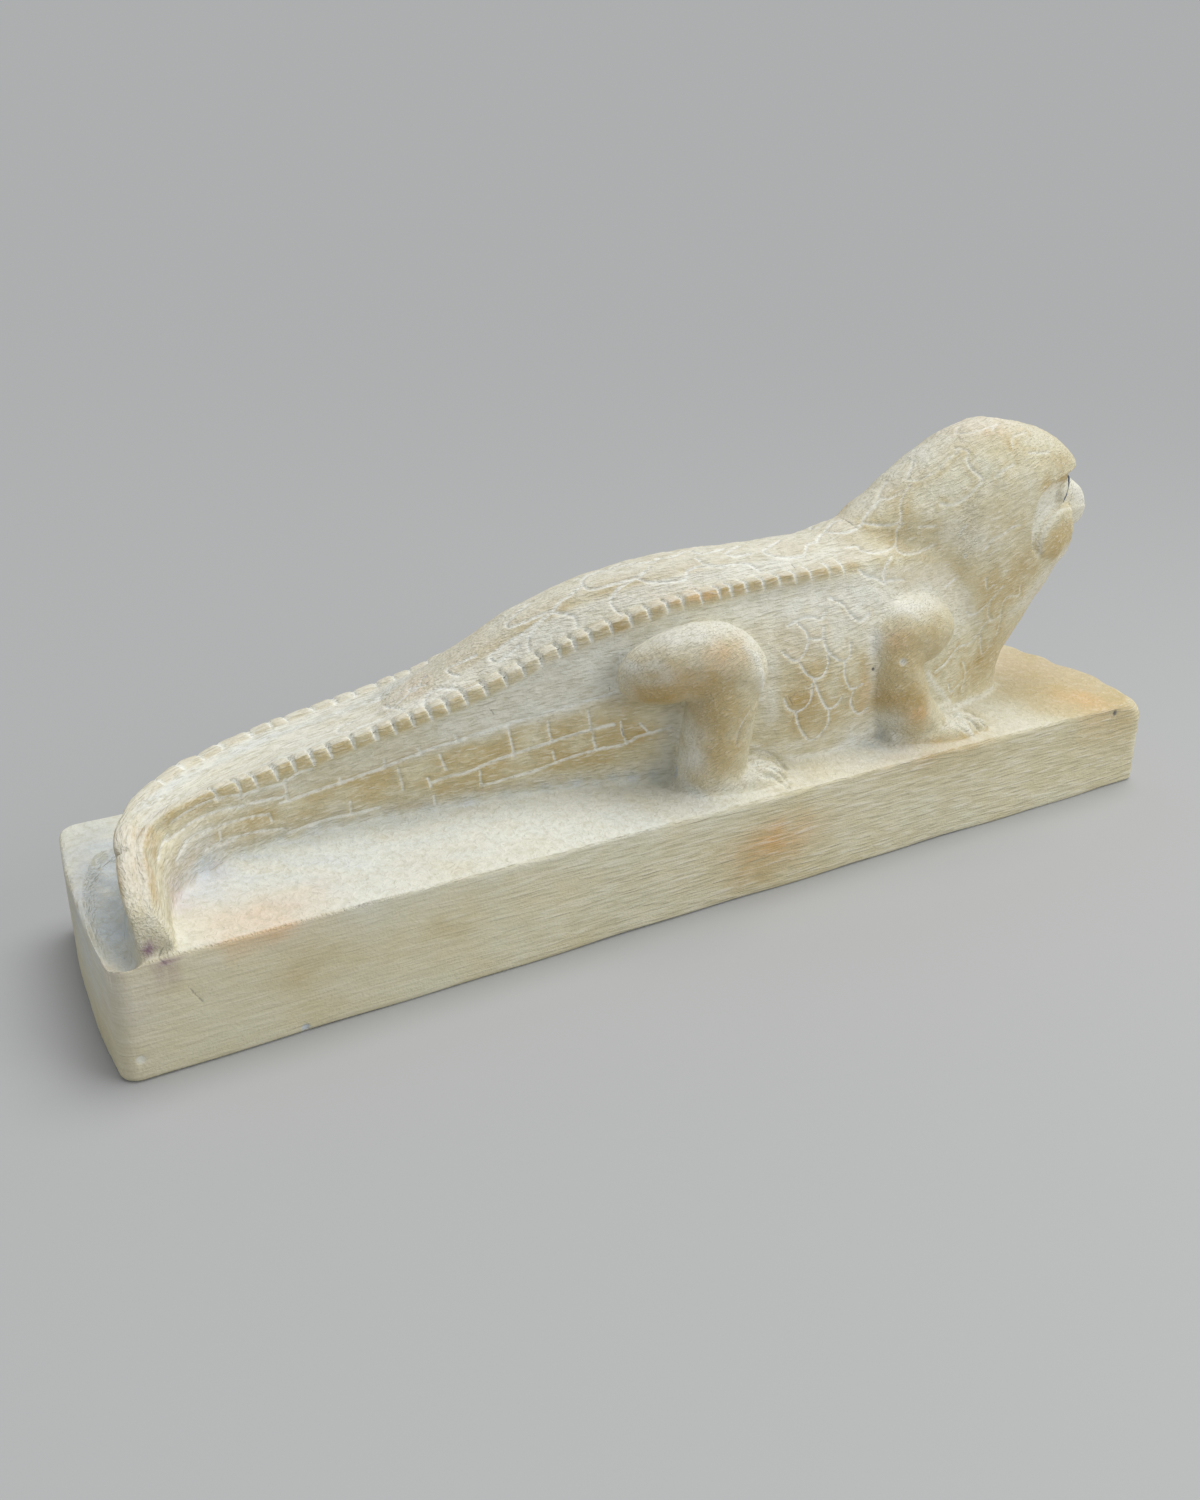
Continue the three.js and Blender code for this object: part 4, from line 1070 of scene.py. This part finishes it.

# The hood's edge stands crisp over the face, with painted shade in tan just under the
# brow. Behind a fine groove the full jaw is rounded off, tan against a pale crescent.

FACE_GROOVE, HOOD_LIP, JAW_RISE = 0.6, 0.3, 0.7
on_face = ease(at.place, 308, 313) * ease(at.up, 50, 54)
behind_beak = on_face * ease(at.place, 344, 340)
face = inside(HOOD_EDGE + UNDER_JAW + JAW_EDGE, at.place, at.up)
jaw = inside(JAW_EDGE + JAW_CUT + UNDER_JAW[::-1], at.place, at.up)
depth *= (1 - on_face * (face > -0.5)) * ease(at.place, 347, 343)
depth += behind_beak * FACE_GROOVE * (ease(face, -0.5, 0.5) - ease(face, 1, 4)) * ease(at.up, 60, 66)
depth -= on_face * HOOD_LIP * band(face, -4, -0.7, -0.6, 0) * ease(at.up, 80, 76)
depth -= behind_beak * JAW_RISE * ease(jaw, -0.3, 1.4)
# Painted shade under the brow: a tan band just inside the hood's edge
lay("tan", on_face * 0.75 * band(face, -0.4, 0.4, 2, 3.2) * ease(at.up, 68, 73))
lay("pale", on_face * 0.7 * ease(face, 0.8, 1.6) * ease(jaw, 0.6, -0.2) * ease(at.up, 78, 75))
lay("pale", behind_beak * 0.8 * np.exp(-((jaw - 0.1) / 0.5) ** 2))
lay("tan", behind_beak * 0.7 * ease(jaw, 1, 2.2) * ease(at.up, 64, 60) * (1 + 0.3 * waver(points, 5, 19)))
lay("pale", 0.8 * ease(at.place, 344, 347) * on_face * ease(at.up, 79, 77))

# Each eye is outlined with one thin stroke of blue-black paint. The stroke lies where a
# point is neither inside nor outside the almond that it follows.

EYE_REACH = 12

eye_line = np.full(len(points), 9.0)
for side in (-1, 1):
    centre, run, out = eye_frame(side)
    held = np.nonzero(np.linalg.norm(points - centre, axis=1) < EYE_REACH)[0]
    loop = almond(side, EYE_LINE_AT, 0) - centre
    loop = np.stack([loop @ run, loop[:, 2]], -1)
    spots = points[held] - centre
    flat = np.stack([spots @ run, spots[:, 2]], -1)
    edge = inside(loop, flat[:, 0], flat[:, 1])
    eye_line[held] = np.where(spots @ out > -1.5, edge, 9)
regions["eye_line"] = eye_line
regions["crack_gap"] = np.minimum(crack_gap, 9)
regions["chalk_edge"] = chalk_edge

# The figure is one skin of plaster. It is cut to the depths worked out above, thinned out
# to what its detail needs, and set out in the frame.

LEAN_TRIANGLES = 196000

points -= normals * depth[:, None]
mesh.vertices.foreach_set("co", points.astype(np.float32).ravel())


def keep_on(mesh, name, kind, values):
    layer = mesh.attributes.new(name, kind, "POINT")
    layer.data.foreach_set("value" if kind == "FLOAT" else "vector", values.astype(np.float32).ravel())


for name, values in {**washes_and_painted_light, **regions}.items():
    keep_on(mesh, name, "FLOAT", values)
keep_on(mesh, "lie", "FLOAT_VECTOR", np.stack([at.place, at.side, at.up], -1))
mesh.update()
decimate = casting.modifiers.new("leaner", "DECIMATE")
decimate.ratio = LEAN_TRIANGLES / (2 * len(mesh.polygons))
mesh = settled(casting)
points = read_rows(mesh.vertices, "co", 3, np.float32).astype(float)
points[:, 2] = np.maximum(points[:, 2], -PLINTH_DEEP)
mesh.vertices.foreach_set("co", set_out(points).astype(np.float32).ravel())
mesh.polygons.foreach_set("use_smooth", [True] * len(mesh.polygons))
mesh.update()

# The plaster is matte and cream. Thin washes of colour lie over it, together with painted
# light and painted shade, broken up by the grain, with the combed strokes of a stiff brush in
# its skin.

CREAM = (0.75, 0.73, 0.58)
WARM_CREAM = (0.71, 0.64, 0.43)
# The pale, cool and dark colours also serve as painted light and painted shade where they are laid so
WASH_AND_PAINTED_LIGHT_COLOURS = {
    "tan": (0.57, 0.46, 0.24), "ochre": (0.48, 0.32, 0.09), "apricot": (0.76, 0.48, 0.22),
    "rose": (0.67, 0.54, 0.48), "plum": (0.30, 0.14, 0.22), "pale": (0.88, 0.89, 0.84),
    "cool": (0.63, 0.69, 0.74), "dark": (0.17, 0.16, 0.15)}
EYE_PAINT = (0.10, 0.12, 0.15)
MM = 0.001


# A number in the material's recipe. Sums on it add the nodes that work them out
class Amount:
    def __init__(self, recipe, socket):
        self.recipe, self.socket = recipe, socket

    def __add__(self, other):
        return self.recipe.maths("ADD", self, other)

    def __sub__(self, other):
        return self.recipe.maths("SUBTRACT", self, other)

    def __rsub__(self, other):
        return self.recipe.maths("SUBTRACT", other, self)

    def __mul__(self, other):
        return self.recipe.maths("MULTIPLY", self, other)

    def __truediv__(self, other):
        return self.recipe.maths("DIVIDE", self, other)

    __radd__, __rmul__ = __add__, __mul__


class Recipe:
    def __init__(self, name):
        self.material = bpy.data.materials.new(name)
        self.material.use_nodes = True
        self.tree = self.material.node_tree
        self.skin = self.tree.nodes["Principled BSDF"]

    def node(self, kind, settings, **sockets):
        made = self.tree.nodes.new("ShaderNode" + kind)
        for name, value in settings.items():
            setattr(made, name, value)
        for name, value in sockets.items():
            self.feed(made.inputs[name.replace("_", " ")], value)
        return made

    def feed(self, socket, value):
        if isinstance(value, Amount):
            self.tree.links.new(value.socket, socket)
        elif isinstance(value, bpy.types.NodeSocket):
            self.tree.links.new(value, socket)
        else:
            socket.default_value = value

    def maths(self, operation, *values, clamp=False):
        made = self.tree.nodes.new("ShaderNodeMath")
        made.operation, made.use_clamp = operation, clamp
        for socket, value in zip(made.inputs, values):
            self.feed(socket, value)
        return Amount(self, made.outputs[0])

    def kept(self, name):
        return Amount(self, self.node("Attribute", {"attribute_name": name}).outputs["Fac"])

    def clamped(self, amount):
        return self.maths("ADD", amount, 0.0, clamp=True)

    # From 0 to 1 as the amount goes from start to end
    def eased(self, amount, start, end):
        share = (amount - start) / (end - start)
        return self.clamped(share)

    def grain(self, where, detail=2.0, roughness=0.5, distortion=0.0):
        made = self.node("TexNoise", {}, Vector=where, Scale=1.0, Detail=detail,
                         Roughness=roughness, Distortion=distortion)
        return Amount(self, made.outputs["Fac"])

    # The place measured in strokes of this size, turned to run another way
    def in_strokes(self, where, size, turn=(0, 0, 0)):
        made = self.node("Mapping", {"vector_type": "TEXTURE"}, Vector=where, Scale=size, Rotation=turn)
        return made.outputs["Vector"]

    def over(self, share, under, colour):
        made = self.node("Mix", {"data_type": "RGBA"})
        self.feed(made.inputs["Factor"], share)
        for name, value in (("A", under), ("B", colour)):
            socket = next(s for s in made.inputs if s.name == name and s.type == "RGBA")
            self.feed(socket, (*value, 1) if isinstance(value, tuple) else value)
        return next(s for s in made.outputs if s.type == "RGBA")


plaster = Recipe("cast_plaster")
spot = plaster.node("TexCoord", {}).outputs["Object"]
lie = plaster.node("Attribute", {"attribute_name": "lie"}).outputs["Vector"]
on_block, on_limb, on_head, on_top = (
    plaster.kept(name) for name in ("on_block", "on_limb", "on_head", "on_top"))
mottle = plaster.grain(plaster.in_strokes(spot, (22 * MM, 16 * MM, 14 * MM)), 4, 0.6)
speck = plaster.grain(plaster.in_strokes(spot, (0.7 * MM, 0.7 * MM, 0.7 * MM)), 2, 0.6)
crumb = plaster.grain(plaster.in_strokes(spot, (2 * MM, 2 * MM, 2 * MM)), 3, 0.55, 0.6)
rasp = plaster.grain(plaster.in_strokes(spot, (9 * MM, 6 * MM, 0.75 * MM)), 1.5, 0.5, 0.5)
comb = plaster.grain(plaster.in_strokes(lie, (3.8, 0.65, 0.62), (0, -0.12, 0)), 1.5, 0.5, 0.5)
dash = plaster.grain(plaster.in_strokes(lie, (2.4, 0.6, 0.55), (0, -0.5, 0)), 1.5, 0.5, 0.6)
hood_comb = plaster.grain(plaster.in_strokes(lie, (3.6, 0.75, 0.62), (0, -0.3, 0)), 1.5, 0.5, 0.6)

figure_mark = comb + on_limb * (dash - comb) + on_head * (hood_comb - comb)
rasp_mark = 0.5 + plaster.kept("rasped") * (rasp - 0.5)
carved_mark = figure_mark + on_block * (rasp_mark - figure_mark)
mark = carved_mark + on_top * (0.6 * crumb + 0.2 - carved_mark)
broken = plaster.clamped(0.35 + 0.75 * mottle + 0.9 * (mark - 0.5) + 0.5 * (speck - 0.5))

colour = plaster.over(plaster.eased(mottle + 0.5 * (mark - 0.5), 0.38, 0.68), CREAM, WARM_CREAM)
colour = plaster.over(0.45 * on_block, colour, (0.72, 0.67, 0.46))
for name in ("rose", "tan", "ochre", "apricot", "plum"):
    share = plaster.clamped(plaster.kept(name) * (0.35 + 1.3 * broken))
    colour = plaster.over(share, colour, WASH_AND_PAINTED_LIGHT_COLOURS[name])
chalky = plaster.clamped(plaster.kept("pale") * (1.25 - 0.7 * broken))
colour = plaster.over(chalky, colour, WASH_AND_PAINTED_LIGHT_COLOURS["pale"])
colour = plaster.over(plaster.clamped(plaster.kept("cool") * (0.5 + speck)), colour, WASH_AND_PAINTED_LIGHT_COLOURS["cool"])
chalk_line = plaster.kept("chalk_edge") + 0.5 * (speck - 0.5) + 0.35 * (crumb - 0.5)
chalk_share = plaster.eased(chalk_line, 0.3, -0.15) * (0.8 - 0.3 * on_head)
colour = plaster.over(chalk_share, colour, (0.91, 0.92, 0.88))
valley = plaster.eased(mark, 0.52, 0.28)
colour = plaster.over(0.55 * valley, colour, (0.47, 0.42, 0.26))
crest_light = plaster.eased(mark, 0.5, 0.74)
colour = plaster.over(crest_light * (0.5 - 0.2 * on_limb), colour, (0.90, 0.89, 0.81))
crack = plaster.kept("crack_gap") + 0.4 * (speck - 0.5)
colour = plaster.over(0.5 * plaster.eased(crack, 0.3, 0.16), colour, WASH_AND_PAINTED_LIGHT_COLOURS["dark"])
pin_holes = plaster.eased(speck + 0.03 * on_top, 0.72, 0.78)
colour = plaster.over(0.55 * pin_holes, colour, (0.30, 0.27, 0.20))
colour = plaster.over(plaster.kept("dark"), colour, WASH_AND_PAINTED_LIGHT_COLOURS["dark"])
eye_edge = plaster.maths("ABSOLUTE", plaster.kept("eye_line"))
colour = plaster.over(plaster.eased(eye_edge, 0.42, 0.24), colour, EYE_PAINT)
plaster.feed(plaster.skin.inputs["Base Color"], colour)

plaster.feed(plaster.skin.inputs["Roughness"], 0.72 + 0.16 * broken)
plaster.skin.inputs["Specular IOR Level"].default_value = 0.35
height = mark * (1.0 + 0.2 * on_block) + 0.4 * crumb + 0.25 * speck
relief = plaster.node("Bump", {}, Height=height, Strength=0.9, Distance=0.7 * MM)
plaster.feed(plaster.skin.inputs["Normal"], relief.outputs["Normal"])
mesh.materials.clear()
mesh.materials.append(plaster.material)

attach(casting, "root")
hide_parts(CAST)

# The stage is a wide pale floor that runs into a sky of the same tone, with one soft light
# from above and a weak one from the side.

FLOOR_HALF = 40.0
floor_mesh = bpy.data.meshes.new("floor")
floor_mesh.from_pydata(
    [(-FLOOR_HALF, -FLOOR_HALF, 0), (FLOOR_HALF, -FLOOR_HALF, 0), (FLOOR_HALF, FLOOR_HALF, 0),
     (-FLOOR_HALF, FLOOR_HALF, 0)], [], [(0, 1, 2, 3)])
floor = bpy.data.objects.new("floor", floor_mesh)
bpy.context.scene.collection.objects.link(floor)
paper = Recipe("pale_paper")
SKY = (0.418, 0.426, 0.43)
SUN_STRENGTH, SUN_TINT, SUN_FROM, SUN_SPREAD = 1.65, (1, 0.985, 0.95), Vector((0.45, 0.1, 1.4)), 40
WINDOW_WATTS, WINDOW_TINT, WINDOW_FROM, WINDOW_WIDE = 2.1, (1, 0.99, 0.95), (0.42, -0.62, 0.42), 0.5
sun_share = SUN_FROM.normalized().z * SUN_STRENGTH / math.pi
shade = [sky / (sky + tint * sun_share) for sky, tint in zip(SKY, SUN_TINT)]
paper.skin.inputs["Base Color"].default_value = (*shade, 1)
paper.skin.inputs["Roughness"].default_value = 1.0
paper.skin.inputs["Specular IOR Level"].default_value = 0
floor_mesh.materials.append(paper.material)

world = bpy.data.worlds.new("soft_room")
world.use_nodes = True
world.node_tree.nodes["Background"].inputs["Color"].default_value = (*SKY, 1)
bpy.context.scene.world = world


def soft_light(kind, name, place, strength, colour, **shape):
    lamp = bpy.data.lights.new(name, kind)
    lamp.energy = strength
    lamp.color = colour
    for setting, value in shape.items():
        setattr(lamp, setting, value)
    light = bpy.data.objects.new(name, lamp)
    light.location = place
    light.rotation_euler = (-Vector(place)).to_track_quat("-Z", "Y").to_euler()
    bpy.context.scene.collection.objects.link(light)


soft_light("SUN", "overhead", SUN_FROM, SUN_STRENGTH, SUN_TINT, angle=math.radians(SUN_SPREAD))
soft_light("AREA", "window", WINDOW_FROM, WINDOW_WATTS, WINDOW_TINT, size=WINDOW_WIDE)
bpy.context.scene.view_settings.view_transform = "Standard"
